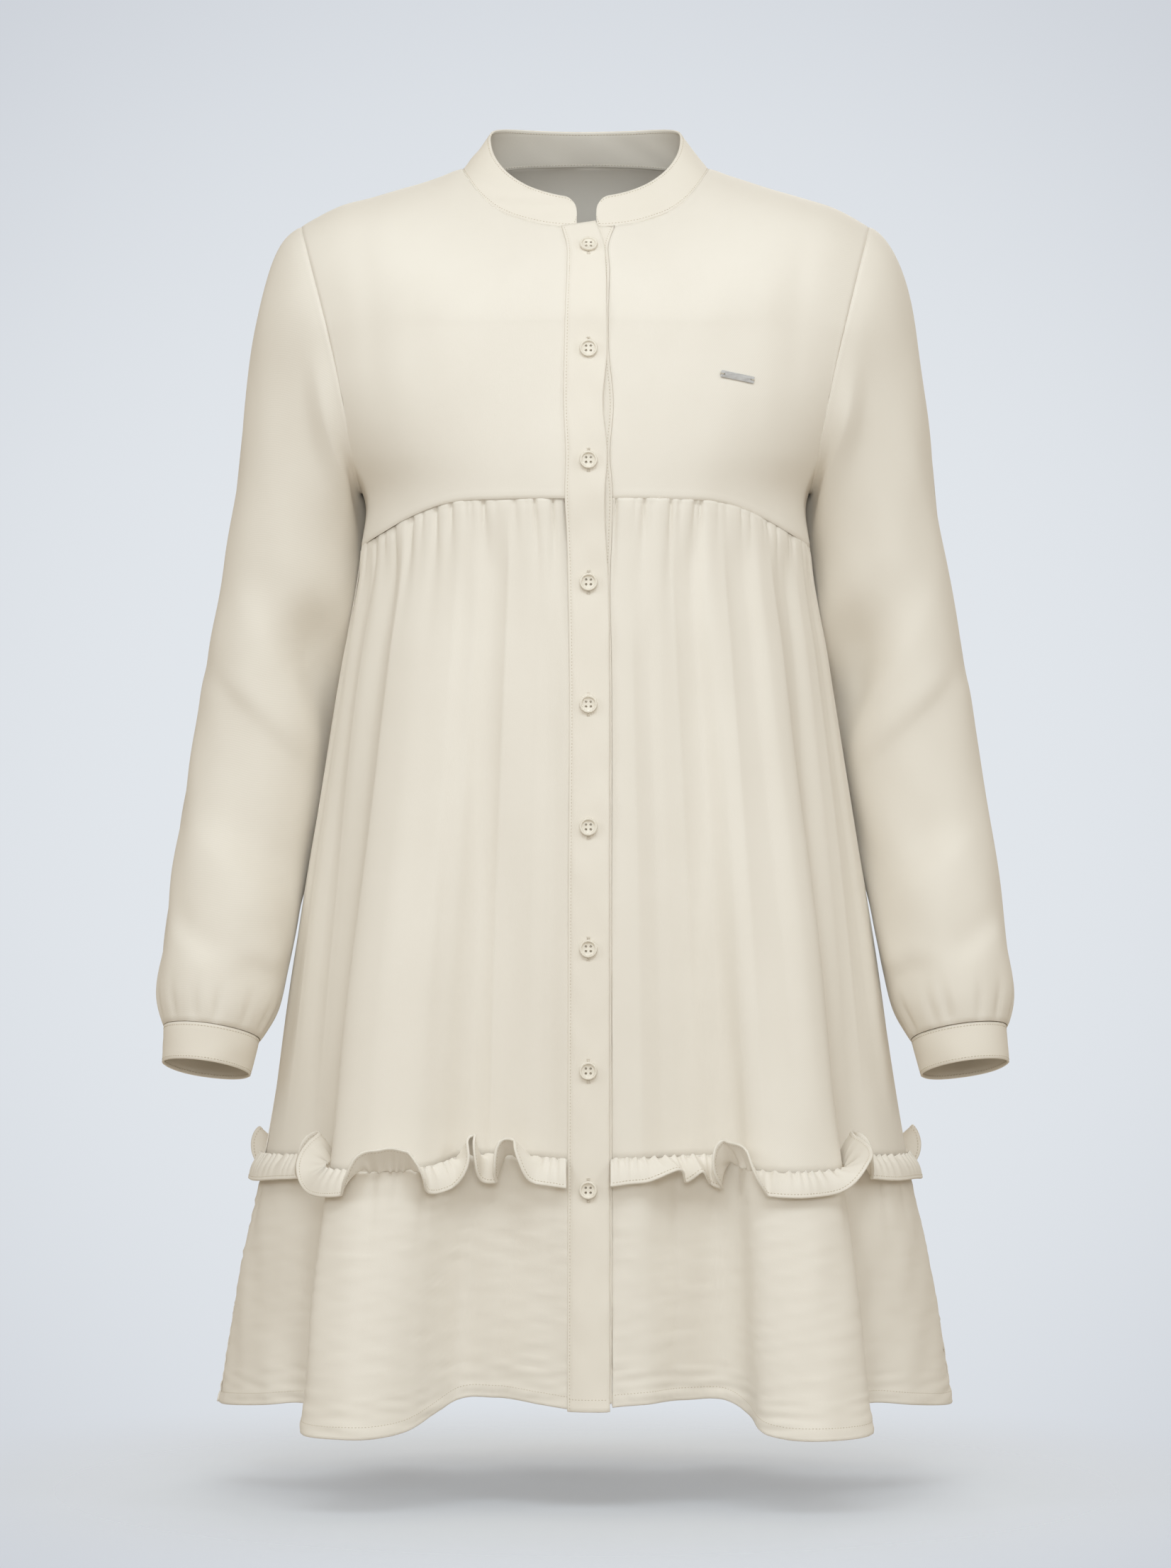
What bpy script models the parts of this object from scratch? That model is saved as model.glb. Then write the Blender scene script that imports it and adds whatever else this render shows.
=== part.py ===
"""Tunic top, worn and filled out with nobody in it.

Frame: metres, +Z up, the front faces -Y, +X is the wearer's left. The origin is midway between the two
points where the shoulder seams meet the collar, which is where the shoulders carry the garment.
Each piece is a grid of points on the middle of its cloth, given its wall by a Solidify modifier.
"""
import math

import bmesh
import bpy
import numpy as np
from mathutils import Matrix, Vector

WALL = 0.0012
STIFF_WALL = 0.0016
GAP = 0.0003
LAYER = WALL + 2 * GAP

# The body: a rounded section at each height, and a vault above the chest line up to the shoulder seam.
SQUARENESS = 2.2
CHEST_Z = -0.115
VAULT = 0.17
SHOULDER_GAP = 0.0004

# Neck seam, an oval seen from above.
NECK_HALF_WIDTH = 0.084
NECK_FRONT = 0.072
NECK_BACK = 0.062
NECK_FULLNESS = 0.12
NECK_CUT = 0.0019

# Armhole, seen from the front.
SHOULDER_TIP_X = 0.1955
SHOULDER_TIP_Z = -0.0405
UNDERARM_Z = -0.224
ARMHOLE_BOW = 0.003

# Collar.
COLLAR_TOP_HALF_WIDTH = 0.066
COLLAR_TOP_FRONT = 0.056
COLLAR_TOP_BACK = 0.050
COLLAR_SIDE_Z = 0.0216
COLLAR_FRONT_DROP = 0.047
COLLAR_BACK_RISE = 0.0095
COLLAR_END_RIGHT_X = 0.0063
COLLAR_END_LEFT_X = 0.0078
COLLAR_CORNER_LENGTH = 0.0115
COLLAR_CORNER_SHARE = 0.62
COLLAR_END_STEPS = (0.0, 0.0015, 0.004, 0.0075, 0.0115)
COLLAR_FOOT = -0.01

# Gathers under the curved seam. A bodice panel has as many columns as the skirt under it has gathers.
NECK_POINTS = 9
SHOULDER_POINTS = 6
GATHERS_FRONT = NECK_POINTS + SHOULDER_POINTS - 1
GATHERS_BACK = 2 * GATHERS_FRONT
GATHER_DEPTH = 0.0021
GATHER_EDGE = 20
GATHER_START = 0.012
GATHER_FADE = 0.06
GATHER_UNEVEN = 0.25
GATHER_BEATS = (5.1, 1.7)
NECK_SEAM_ANGLE = 0.5
SKIRT_STEPS = (0.0, 0.025, 0.065, 0.14, 0.26, 0.42, 0.60, 0.80, 1.0)
TIER_STEPS = (0.0, 0.12, 0.5, 1.0)

# Hem tier and ruffle.
HEM_Z = -0.853
RUFFLE_Z = -0.681
RUFFLE_LIFT = 0.45
RUFFLE_WIDTH = 0.020
RUFFLE_ROOT = 0.0028
RUFFLE_END_GAP = 0.0009
RUFFLE_STEPS = (0.0, 0.35, 0.7, 1.0)
WAVE_STEPS = (0.0, 0.35, 0.65)
WAVE_MARGIN = 0.8

# Placket and buttons.
PLACKET_STEPS = (0.0, 0.35, 0.7, 1.0)
PLACKET_OVERLAP = 0.0025
PLACKET_SEAM_GAP = 0.0007
PLACKET_OVER_Z = -0.8415
PLACKET_UNDER_Z = -0.836
BUTTON_X = 0.002
BUTTON_RADIUS = 0.006
BUTTON_HEIGHT = 0.0024
BUTTON_SIDES = 12

# Sleeves.
SLEEVE_SIDES = 20
SLEEVE_START_GAP = 0.0008
SLEEVE_START_PULL = 0.55
SLEEVE_END_PULL = 1.05
SLEEVE_GATHERS = 10
SLEEVE_GATHER_DEPTH = 0.0011
SLEEVE_GATHER_Z = -0.556
SLEEVE_GATHER_LENGTH = 0.03
SLEEVE_GATHER_SEAM = 0.5
SLEEVE_LEAVES = {"out": 0.93, "around": 0.3, "up": 0.04, "down": 0.40}
SECTION_STEP = 0.004
CAP_STEPS = (0.0, 0.13, 0.32, 0.55, 0.78)
ARM_Z = (-0.265, -0.315, -0.360, -0.405, -0.450, -0.500, -0.545, -0.570, -0.586, -0.596)

# Name bar.
BAR_LENGTH = 0.0236
BAR_HEIGHT = 0.0047
BAR_THICKNESS = 0.001
BAR_HOLE_RADIUS = 0.0006
BAR_HOLE_INSET = 0.0022
BAR_X = 0.102
BAR_Z = -0.151
BAR_TILT = -9.2

CREPE = ((0.80, 0.73, 0.62), 0.75)
BUTTON_PLASTIC = ((0.78, 0.71, 0.60), 0.35)
STEEL = ((0.75, 0.75, 0.76), 0.25, 1.0)

# Steps for measuring the cloth's slope.
ANGLE_STEP = 0.05
RISE_STEP = 0.0004


def table(names, *rows):
    """A short table as a dictionary of columns."""
    return dict(zip(names.split(), np.array(rows, dtype=float).T))


# Sections of the plain body, from the hem up.
BODY = table(
    "z      half_width front back",
    (-0.853, 0.2520, 0.160, 0.168),
    (-0.770, 0.2390, 0.157, 0.160),
    (-0.680, 0.2205, 0.153, 0.148),
    (-0.540, 0.1995, 0.146, 0.128),
    (-0.420, 0.1804, 0.136, 0.110),
    (-0.340, 0.1680, 0.129, 0.100),
    (-0.262, 0.1545, 0.124, 0.093),
    (-0.224, 0.1537, 0.125, 0.095),
    (-0.200, 0.1710, 0.124, 0.096),
    (-0.165, 0.1940, 0.120, 0.098),
    (-0.115, 0.2160, 0.112, 0.098),
)

# Shoulder seam's height along x, and how round the vault is in front of it.
SHOULDER = table(
    "x      z       roundness",
    (0.000, 0.000, 1.47),
    (0.040, 0.000, 1.44),
    (0.070, 0.000, 1.43),
    (0.084, 0.000, 1.50),
    (0.100, -0.0055, 1.65),
    (0.146, -0.0200, 2.10),
    (0.171, -0.0275, 2.20),
    (0.1955, -0.0405, 2.20),
    (0.216, -0.0560, 2.20),
)
BACK_ROUNDNESS = 2.5
BACK_NECK_RISE = 0.03
BACK_NECK_POWER = 1.25

# Curved seam under the bust, from the centre front round to the centre back.
BUST_SEAM = table(
    "angle z",
    (0, -0.2335),
    (25, -0.2335),
    (42, -0.2355),
    (56, -0.2450),
    (66, -0.2535),
    (90, -0.2635),
    (130, -0.2630),
    (180, -0.2610),
)

# Hem folds: where the hem runs, angle degrees round the plain body from the centre front.
FOLDS_RIGHT = table(
    "angle x      y      z",
    (0, 0.000, -0.163, -0.8405),
    (10, 0.029, -0.148, -0.8380),
    (21, 0.060, -0.130, -0.8350),
    (31, 0.091, -0.138, -0.8380),
    (34.5, 0.104, -0.155, -0.8460),
    (38, 0.1155, -0.170, -0.8520),
    (44, 0.137, -0.183, -0.8565),
    (50.5, 0.162, -0.185, -0.8570),
    (56, 0.188, -0.165, -0.8560),
    (64, 0.178, -0.095, -0.8460),
    (69, 0.1935, -0.070, -0.8450),
    (76, 0.219, -0.055, -0.8480),
    (90, 0.253, 0.000, -0.8520),
    (100, 0.240, 0.045, -0.8500),
    (112, 0.242, 0.098, -0.8560),
    (128, 0.157, 0.1225, -0.8450),
    (142, 0.1326, 0.1697, -0.8560),
    (157, 0.0627, 0.1477, -0.8450),
    (169, 0.0352, 0.1811, -0.8540),
    (180, 0.000, 0.162, -0.8490),
)
FOLDS_LEFT = table(
    "angle x      y      z",
    (0, 0.000, -0.163, -0.8405),
    (8, 0.0225, -0.161, -0.8380),
    (14.5, 0.041, -0.157, -0.8370),
    (23, 0.066, -0.137, -0.8360),
    (31, 0.096, -0.134, -0.8370),
    (35.5, 0.109, -0.150, -0.8440),
    (38.5, 0.115, -0.172, -0.8520),
    (43, 0.130, -0.186, -0.8565),
    (50, 0.165, -0.187, -0.8575),
    (55.5, 0.189, -0.166, -0.8560),
    (64, 0.178, -0.095, -0.8460),
    (69, 0.195, -0.070, -0.8450),
    (76, 0.224, -0.055, -0.8480),
    (90, 0.253, 0.000, -0.8520),
    (99, 0.243, 0.040, -0.8490),
    (115, 0.236, 0.110, -0.8560),
    (131, 0.149, 0.124, -0.8440),
    (146, 0.117, 0.176, -0.8570),
    (160, 0.0535, 0.150, -0.8460),
    (171, 0.028, 0.178, -0.8530),
    (180, 0.000, 0.162, -0.8490),
)

# How much of the hem's folds shows at each height.
FOLD_SHARE = table(
    "z      share",
    (-0.860, 1.02),
    (-0.853, 1.00),
    (-0.770, 0.82),
    (-0.681, 0.62),
    (-0.560, 0.40),
    (-0.450, 0.22),
    (-0.340, 0.07),
    (-0.2635, 0.00),
    (-0.2300, 0.00),
)

# Ruffle waves: swing is the strip's angle off straight down, 180 is straight up.
WAVES_RIGHT = table(
    "angle swing",
    (0, 30),
    (6.2, 28),
    (15, 140),
    (20.5, 28),
    (26.5, 158),
    (32, 30),
    (41, 150),
    (51, 28),
    (58.5, 150),
    (69, 28),
    (79, 58),
    (88, 28),
    (97, 62),
    (106, 28),
    (115, 140),
    (124, 28),
    (134, 150),
    (144, 28),
    (152, 140),
    (161, 30),
    (170, 150),
    (180, 28),
)
WAVES_LEFT = table(
    "angle swing",
    (0, 30),
    (11.3, 28),
    (17.6, 95),
    (21, 28),
    (25.2, 145),
    (30, 28),
    (34.5, 162),
    (43, 26),
    (56, 155),
    (69, 28),
    (78, 60),
    (89, 28),
    (98, 64),
    (107, 28),
    (117, 150),
    (127, 28),
    (136, 140),
    (147, 30),
    (155, 152),
    (164, 28),
    (171, 120),
    (180, 28),
)

# Placket edges, the seam of the under band, and how far the free edge stands out, from the hem up.
PLACKET = table(
    "z      left     right   seam    lift",
    (-0.845, -0.0108, 0.0155, 0.0172, 0.0000),
    (-0.500, -0.0108, 0.0155, 0.0170, 0.0000),
    (-0.333, -0.0106, 0.0155, 0.0168, 0.0003),
    (-0.290, -0.0114, 0.0150, 0.0160, 0.0000),
    (-0.258, -0.0122, 0.0130, 0.0172, 0.0016),
    (-0.2285, -0.0136, 0.0125, 0.0178, 0.0018),
    (-0.206, -0.0130, 0.0142, 0.0160, 0.0000),
    (-0.170, -0.0144, 0.0112, 0.0183, 0.0024),
    (-0.133, -0.0140, 0.0142, 0.0152, 0.0000),
    (-0.100, -0.0132, 0.0138, 0.0152, 0.0006),
    (-0.076, -0.0122, 0.0134, 0.0158, 0.0000),
    (-0.060, -0.0125, 0.0120, 0.0150, 0.0000),
    (-0.045, -0.0165, 0.0062, 0.0200, 0.0000),
)
BUTTON_Z = (-0.062, -0.133, -0.208, -0.290, -0.372, -0.454, -0.535, -0.616, -0.695)

# Sections of the left sleeve below the underarm, square to the arm.
SLEEVE = table(
    "z      x       y       half_width half_depth",
    (-0.596, 0.2570, -0.0180, 0.0335, 0.0350),
    (-0.578, 0.2544, -0.0136, 0.0405, 0.0410),
    (-0.545, 0.2482, -0.0045, 0.0436, 0.0430),
    (-0.500, 0.2420, 0.0090, 0.0450, 0.0450),
    (-0.420, 0.2290, 0.0260, 0.0464, 0.0470),
    (-0.340, 0.2160, 0.0280, 0.0462, 0.0490),
    (-0.265, 0.2020, 0.0200, 0.0462, 0.0520),
)
# Arm creases: angle 0 is the outer side of the arm, 90 its front, 180 its inner side.
CREASES = table(
    "z      slope   angle spread depth  width",
    (-0.345, 0.035, 150, 60, 0.0045, 0.020),
    (-0.400, -0.030, 60, 55, 0.0030, 0.022),
    (-0.515, -0.025, 110, 60, 0.0035, 0.018),
)
CUFF = table(
    "z      x       y       half_width half_depth",
    (-0.6205, 0.2606, -0.0240, 0.0300, 0.0315),
    (-0.5967, 0.2572, -0.0182, 0.0325, 0.0340),
)


def curve(xs, ys, x):
    """Smooth cubic curve through a table's points, read at x."""
    step = np.diff(xs)
    rise = np.diff(ys) / step
    inner = (rise[:-1] * step[1:] + rise[1:] * step[:-1]) / (step[:-1] + step[1:])
    slope = np.concatenate((rise[:1], inner, rise[-1:]))
    x = np.clip(x, xs[0], xs[-1])
    i = np.clip(np.searchsorted(xs, x, side="right") - 1, 0, len(step) - 1)
    t = (x - xs[i]) / step[i]
    ends = ys[i] * (1 + 2 * t) * (1 - t) ** 2 + ys[i + 1] * t * t * (3 - 2 * t)
    return ends + step[i] * t * (1 - t) * (slope[i] * (1 - t) - slope[i + 1] * t)


def soft_step(t):
    """Eases from 0 to 1."""
    t = np.clip(t, 0.0, 1.0)
    return t * t * (3 - 2 * t)


def both_sides(right, left, name):
    """A column of two half tables as one column right round, from -180 to 180."""
    flip = -1 if name in ("angle", "x") else 1
    return np.concatenate((flip * right[name][:0:-1], left[name]))


def signed(angle):
    """The same angle between -180 and 180."""
    return (np.asarray(angle, dtype=float) + 180.0) % 360.0 - 180.0


def body_depth(front, z):
    """Half depth of the body in front of or behind the side seams."""
    return np.where(front, curve(BODY["z"], BODY["front"], z), curve(BODY["z"], BODY["back"], z))


def ring(angle, z):
    """Plain body's x and y at an angle from the centre front towards the wearer's left."""
    s, c = np.sin(np.radians(angle)), np.cos(np.radians(angle))
    width = curve(BODY["z"], BODY["half_width"], z)
    reach = np.abs(s / width) ** SQUARENESS + np.abs(c / body_depth(c > 0, z)) ** SQUARENESS
    radius = reach ** (-1 / SQUARENESS)
    return radius * s, -radius * c


def fold_shift(angle, z):
    """How far the hem's folds carry the cloth in x and y at a height."""
    share = curve(FOLD_SHARE["z"], FOLD_SHARE["share"], z)
    around = both_sides(FOLDS_RIGHT, FOLDS_LEFT, "angle")
    x0, y0 = ring(angle, HEM_Z)
    hem_x = curve(around, both_sides(FOLDS_RIGHT, FOLDS_LEFT, "x"), signed(angle))
    hem_y = curve(around, both_sides(FOLDS_RIGHT, FOLDS_LEFT, "y"), signed(angle))
    return share * (hem_x - x0), share * (hem_y - y0)


def shoulder_line(x, front):
    """Height of the shoulder seam and the vault's roundness at x."""
    x = np.abs(x)
    z = curve(SHOULDER["x"], SHOULDER["z"], x)
    inside = np.clip(1 - (x / NECK_HALF_WIDTH) ** 2, 0, 1)
    z_back = z + BACK_NECK_RISE * inside**BACK_NECK_POWER
    roundness = curve(SHOULDER["x"], SHOULDER["roundness"], x)
    return np.where(front, z, z_back), np.where(front, roundness, BACK_ROUNDNESS)


def cloth(angle, rise):
    """Point of the garment's body: angle round it, and rise along it from the chest line up."""
    angle, rise = np.broadcast_arrays(np.asarray(angle, dtype=float), np.asarray(rise, dtype=float))
    low_z = CHEST_Z + np.minimum(rise, 0.0)
    x, y = ring(angle, low_z)
    dx, dy = fold_shift(angle, low_z)
    turn = np.clip(rise / VAULT, 0.0, 1.0) * math.pi / 2
    top, roundness = shoulder_line(x, np.cos(np.radians(angle)) > 0)
    power = 2 / roundness
    z = low_z + (top - CHEST_Z) * np.sin(turn) ** power
    return np.stack((x + dx, y * np.clip(np.cos(turn), 0, 1) ** power + dy, z), axis=-1)


def depth_at(x, z, front):
    """The plain body's depth where it stands at x, below the chest line."""
    ratio = np.clip(np.abs(x) / curve(BODY["z"], BODY["half_width"], z), 0, 1)
    return body_depth(front, z) * (1 - ratio**SQUARENESS) ** (1 / SQUARENESS)


def above(x, y):
    """Angle and rise of the vault's point at x and y."""
    front = y < 0
    base = depth_at(x, CHEST_Z, front)
    _, roundness = shoulder_line(x, front)
    turn = np.arccos(np.clip(np.abs(y) / base, 0, 1) ** (roundness / 2))
    angle = np.degrees(np.arctan2(x, np.where(front, base, -base)))
    return angle, VAULT * turn / (math.pi / 2)


def beside(x, z, front):
    """Angle and rise of the garment's point at x and z, in front or behind."""
    low_z = np.minimum(z, CHEST_Z)
    base = depth_at(x, low_z, front)
    top, roundness = shoulder_line(x, front)
    turn = np.arcsin(np.clip((z - low_z) / (top - CHEST_Z), 0, 1) ** (roundness / 2))
    angle = np.degrees(np.arctan2(x, np.where(front, base, -base)))
    return angle, low_z - CHEST_Z + VAULT * turn / (math.pi / 2)


def neck(t, grow=0.0):
    """Neck seam's x and y, t degrees round from the centre front towards the wearer's left."""
    s, c = np.sin(np.radians(t)), np.cos(np.radians(t))
    front = -(NECK_FRONT + grow) * c * (1 + NECK_FULLNESS * s * s)
    return (NECK_HALF_WIDTH + grow) * s, np.where(c > 0, front, -(NECK_BACK + grow) * c)


def armhole(turn, front):
    """Armhole's x and z on the wearer's left, turn 0 at the shoulder tip, 180 at the underarm."""
    t = (1 - np.cos(np.radians(turn))) / 2
    underarm_x = curve(BODY["z"], BODY["half_width"], UNDERARM_Z)
    x = SHOULDER_TIP_X + (underarm_x - SHOULDER_TIP_X) * t - ARMHOLE_BOW * np.sin(math.pi * t)
    z = SHOULDER_TIP_Z + (UNDERARM_Z - SHOULDER_TIP_Z) * t
    return beside(np.minimum(x, curve(BODY["z"], BODY["half_width"], z)), z, front)


def bust_seam_rise(angle):
    """Rise of the curved seam at an angle."""
    return curve(BUST_SEAM["angle"], BUST_SEAM["z"], np.abs(signed(angle))) - CHEST_Z


def hem_rise(angle):
    """Rise of the hem at an angle."""
    around = both_sides(FOLDS_RIGHT, FOLDS_LEFT, "angle")
    return curve(around, both_sides(FOLDS_RIGHT, FOLDS_LEFT, "z"), signed(angle)) - CHEST_Z


def ruffle_rise(angle):
    """Rise of the ruffle's seam, lifted where the hem is."""
    return RUFFLE_Z - CHEST_Z + RUFFLE_LIFT * (hem_rise(angle) + CHEST_Z - HEM_Z)


def front_angle(x, rise):
    """Angle of the point at a small x near the centre front."""
    z = CHEST_Z + np.minimum(rise, 0.0)
    return np.degrees(np.arctan2(x, curve(BODY["z"], BODY["front"], z)))


def placket_x(column, rise):
    """A placket edge's x at a rise."""
    return curve(PLACKET["z"], PLACKET[column], cloth(0.0, rise)[..., 2])


def opening_x(side, rise):
    """Front panel's distance from the centre at its opening edge.

    The right panel runs under the over band, and the left one meets the under band.
    """
    if side < 0:
        return -placket_x("left", rise) - PLACKET_OVERLAP
    return placket_x("seam", rise) + PLACKET_SEAM_GAP


def outward(angle, rise):
    """Unit normal of the garment's body, pointing out."""
    across = cloth(angle + ANGLE_STEP, rise) - cloth(angle - ANGLE_STEP, rise)
    up = cloth(angle, rise + RISE_STEP) - cloth(angle, rise - RISE_STEP)
    normal = np.cross(across, up)
    return normal / np.linalg.norm(normal, axis=-1, keepdims=True)


def lifted(angle, rise, height):
    """Points of the garment's body, moved out along its normal."""
    return cloth(angle, rise) + outward(angle, rise) * np.asarray(height)[..., None]


def progress(edge):
    """How far up an edge each of its points is, from 0 to 1."""
    return (edge[:, 1] - edge[0, 1]) / (edge[-1, 1] - edge[0, 1])


def patch(bottom, top, left, right):
    """Grid between four edges, each a list of (angle, rise), as a Coons patch."""
    u = np.linspace(0, 1, len(bottom))[None, :, None]
    v = progress(right)[:, None, None]
    sides = (1 - u) * left[:, None] + u * right[:, None]
    ends = (1 - v) * bottom[None] + v * top[None]
    low = (1 - u) * bottom[0] + u * bottom[-1]
    high = (1 - u) * top[0] + u * top[-1]
    return sides + ends - (1 - v) * low - v * high


def pairs(angle, rise):
    """Angles and rises as a list of pairs."""
    return np.stack(np.broadcast_arrays(angle, rise), axis=-1)


def material(name, colour, roughness, metallic=0.0):
    """Principled material with one colour."""
    made = bpy.data.materials.new(name)
    made.use_nodes = True
    shader = made.node_tree.nodes["Principled BSDF"]
    shader.inputs["Base Color"].default_value = (*colour, 1.0)
    shader.inputs["Roughness"].default_value = roughness
    shader.inputs["Metallic"].default_value = metallic
    return made


def add(name, mesh, finish):
    """A mesh as a named object with its own material."""
    made = bpy.data.objects.new(name, mesh)
    mesh.materials.append(material(name, *finish))
    bpy.context.scene.collection.objects.link(made)
    return made


def wall(name, points, thickness=WALL, closed=False, even=True):
    """Cloth wall round a grid of middle points; closed joins the last column to the first."""
    rows, columns = points.shape[:2]
    faces = []
    for r in range(rows - 1):
        for c in range(columns if closed else columns - 1):
            after = (c + 1) % columns
            low, high = r * columns, (r + 1) * columns
            faces.append((low + c, low + after, high + after, high + c))
    mesh = bpy.data.meshes.new(name)
    mesh.from_pydata([tuple(p) for p in points.reshape(-1, 3)], [], faces)
    mesh.shade_smooth()
    made = add(name, mesh, CREPE)
    solid = made.modifiers.new("wall", "SOLIDIFY")
    solid.thickness = thickness
    solid.offset = 0.0
    solid.use_even_offset = even


def side_angle():
    """Angle of the front panels' side edge, half a seam gap short of the side."""
    return 90 - math.degrees(GAP / 2 / float(curve(BODY["z"], BODY["half_width"], UNDERARM_Z)))


def armhole_edge(angle, front, tip):
    """Side edge of a bodice panel: the side seam, then the armhole up to the shoulder tip."""
    underarm = UNDERARM_Z - CHEST_Z
    seam = np.linspace(bust_seam_rise(90.0) + GAP / 2, underarm, 3)
    turns = np.linspace(180, 0, SLEEVE_SIDES // 2 + 1)[1:-1]
    return np.concatenate((pairs(angle, seam), pairs(*armhole(turns, front)), tip[None]))


def bodice_front(side):
    """Grid of a front bodice panel; side is 1 on the wearer's left and -1 on the right."""
    top_rise = above(*neck(0.0, NECK_CUT))[1]
    start = math.degrees(math.asin(float(opening_x(side, top_rise)) / (NECK_HALF_WIDTH + NECK_CUT)))
    neck_edge = pairs(*above(*neck(np.linspace(start, 90 - NECK_SEAM_ANGLE, NECK_POINTS), NECK_CUT)))
    xs = np.linspace(NECK_HALF_WIDTH + NECK_CUT, SHOULDER_TIP_X, SHOULDER_POINTS + 1)[1:]
    shoulder = pairs(*above(xs, np.full_like(xs, -SHOULDER_GAP)))
    top = np.concatenate((neck_edge, shoulder))
    right = armhole_edge(side_angle(), True, top[-1])
    seam_angle = front_angle(opening_x(side, bust_seam_rise(0.0)), bust_seam_rise(0.0))
    low = bust_seam_rise(seam_angle) + GAP / 2
    rises = low + (top[0, 1] - low) * progress(right)
    left = pairs(front_angle(opening_x(side, rises), rises), rises)
    left[-1] = top[0]
    angles = np.linspace(left[0, 0], right[0, 0], len(top))
    bottom = pairs(angles, bust_seam_rise(angles) + GAP / 2)
    grid = patch(bottom, top, left, right)
    return cloth(side * grid[..., 0], grid[..., 1])


def bodice_back():
    """Grid of the back bodice panel, from the left side round to the right."""
    xs = np.linspace(SHOULDER_TIP_X, NECK_HALF_WIDTH + NECK_CUT, SHOULDER_POINTS + 1)[:-1]
    shoulder = pairs(*above(xs, np.full_like(xs, SHOULDER_GAP)))
    neck_edge = pairs(*above(*neck(np.linspace(90 + NECK_SEAM_ANGLE, 180, NECK_POINTS), NECK_CUT)))
    half = np.concatenate((shoulder, neck_edge))
    half[-1, 0] = 180.0
    other = half[-2::-1] * (-1, 1) + (360, 0)
    top = np.concatenate((half, other))
    left = armhole_edge(180 - side_angle(), False, top[0])
    right = left * (-1, 1) + (360, 0)
    angles = np.linspace(left[0, 0], right[0, 0], len(top))
    bottom = pairs(angles, bust_seam_rise(angles) + GAP / 2)
    grid = patch(bottom, top, left, right)
    return cloth(grid[..., 0], grid[..., 1])


def gather(u, drop, count):
    """Height of the small gathers at a share of the seam's length and a drop below it."""
    swell = np.clip(GATHER_EDGE * np.minimum(u, 1 - u), 0, 1)
    beat = np.sin(GATHER_BEATS[0] * u * count) * np.cos(GATHER_BEATS[1] * u * count)
    uneven = 1 - GATHER_UNEVEN * (1 - beat)
    fade = soft_step(drop / GATHER_START) * np.exp(-np.maximum(drop - GATHER_START, 0) / GATHER_FADE)
    return GATHER_DEPTH * swell * uneven * fade * np.cos(2 * math.pi * count * u)


def band(first, last, top, bottom, steps, count):
    """Grid of a skirt or tier panel between two seams, gathered at its top.

    first and last give the angle of each end at a rise; top and bottom give the seams' rise at an angle.
    """
    u = np.linspace(0, 1, 2 * count + 1)[None]
    v = np.array(steps)[:, None]
    level = (1 - v) * top(first(0.0)) + v * bottom(first(0.0))
    angle = (1 - u) * first(level) + u * last(level)
    rise = (1 - v) * (top(angle) - GAP / 2) + v * bottom(angle)
    return lifted(angle, rise, gather(u, top(angle) - rise, count))


def skirt(first, last, count):
    """Grid of a skirt panel, its top edge on the straight runs of the bodice's columns."""
    points = band(first, last, bust_seam_rise, lambda a: ruffle_rise(a) + GAP / 2, SKIRT_STEPS, count)
    points[0, 1::2] = (points[0, :-1:2] + points[0, 2::2]) / 2
    return points


def opening_angle(side):
    """The opening edge's angle as a function of the rise."""
    return lambda rise: side * front_angle(opening_x(side, rise), rise)


def swing(angle):
    """The ruffle's angle off straight down."""
    waves = WAVES_LEFT if angle >= 0 else WAVES_RIGHT
    i = min(int(np.searchsorted(waves["angle"], abs(angle), side="right")) - 1, len(waves["angle"]) - 2)
    a, b = waves["angle"][i : i + 2]
    low, high = waves["swing"][i : i + 2]
    return math.radians(low + (high - low) * soft_step((abs(angle) - a) / (b - a)))


def wave_angles(waves, low, high):
    """Angles along a ruffle, a few in each half wave."""
    marks = []
    for a, b in zip(waves["angle"][:-1], waves["angle"][1:]):
        marks += [a + (b - a) * t for t in WAVE_STEPS]
    return [low] + [m for m in marks if low + WAVE_MARGIN < m < high - WAVE_MARGIN] + [high]


def ruffle(angles):
    """Grid of a ruffle strip sewn along one edge, its free edge swinging down and up."""
    angles = np.array(angles)
    turn = np.array([swing(float(a)) for a in signed(angles)])
    rise = ruffle_rise(angles)
    root = lifted(angles, rise, np.full_like(angles, RUFFLE_ROOT))
    out = outward(angles, rise)
    up = np.array((0.0, 0.0, 1.0))
    reach = np.sin(turn)[:, None] * out - np.cos(turn)[:, None] * up
    return np.stack([root + RUFFLE_WIDTH * w * reach for w in RUFFLE_STEPS])


def placket_rises(low_z):
    """Rises of the placket's rows from the hem up to the neck."""
    z = np.concatenate(([low_z], np.linspace(-0.80, -0.29, 9), np.linspace(-0.278, -0.056, 20)))
    rises = beside(np.zeros_like(z), z, True)[1]
    return np.append(rises, above(*neck(0.0, NECK_CUT))[1])


def placket_columns(rise):
    """The bands' columns in x at each rise: the over band's two edges and the lines between them."""
    u = np.array(PLACKET_STEPS)
    return u, placket_x("left", rise) * (1 - u) + placket_x("right", rise) * u


def placket_over():
    """Grid of the band with the buttonholes, which lies on the other; its free edge stands a little proud."""
    rise = placket_rises(PLACKET_OVER_Z)[:, None]
    u, x = placket_columns(rise)
    return lifted(front_angle(x, rise), rise, LAYER + placket_x("lift", rise) * u * u)


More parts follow.
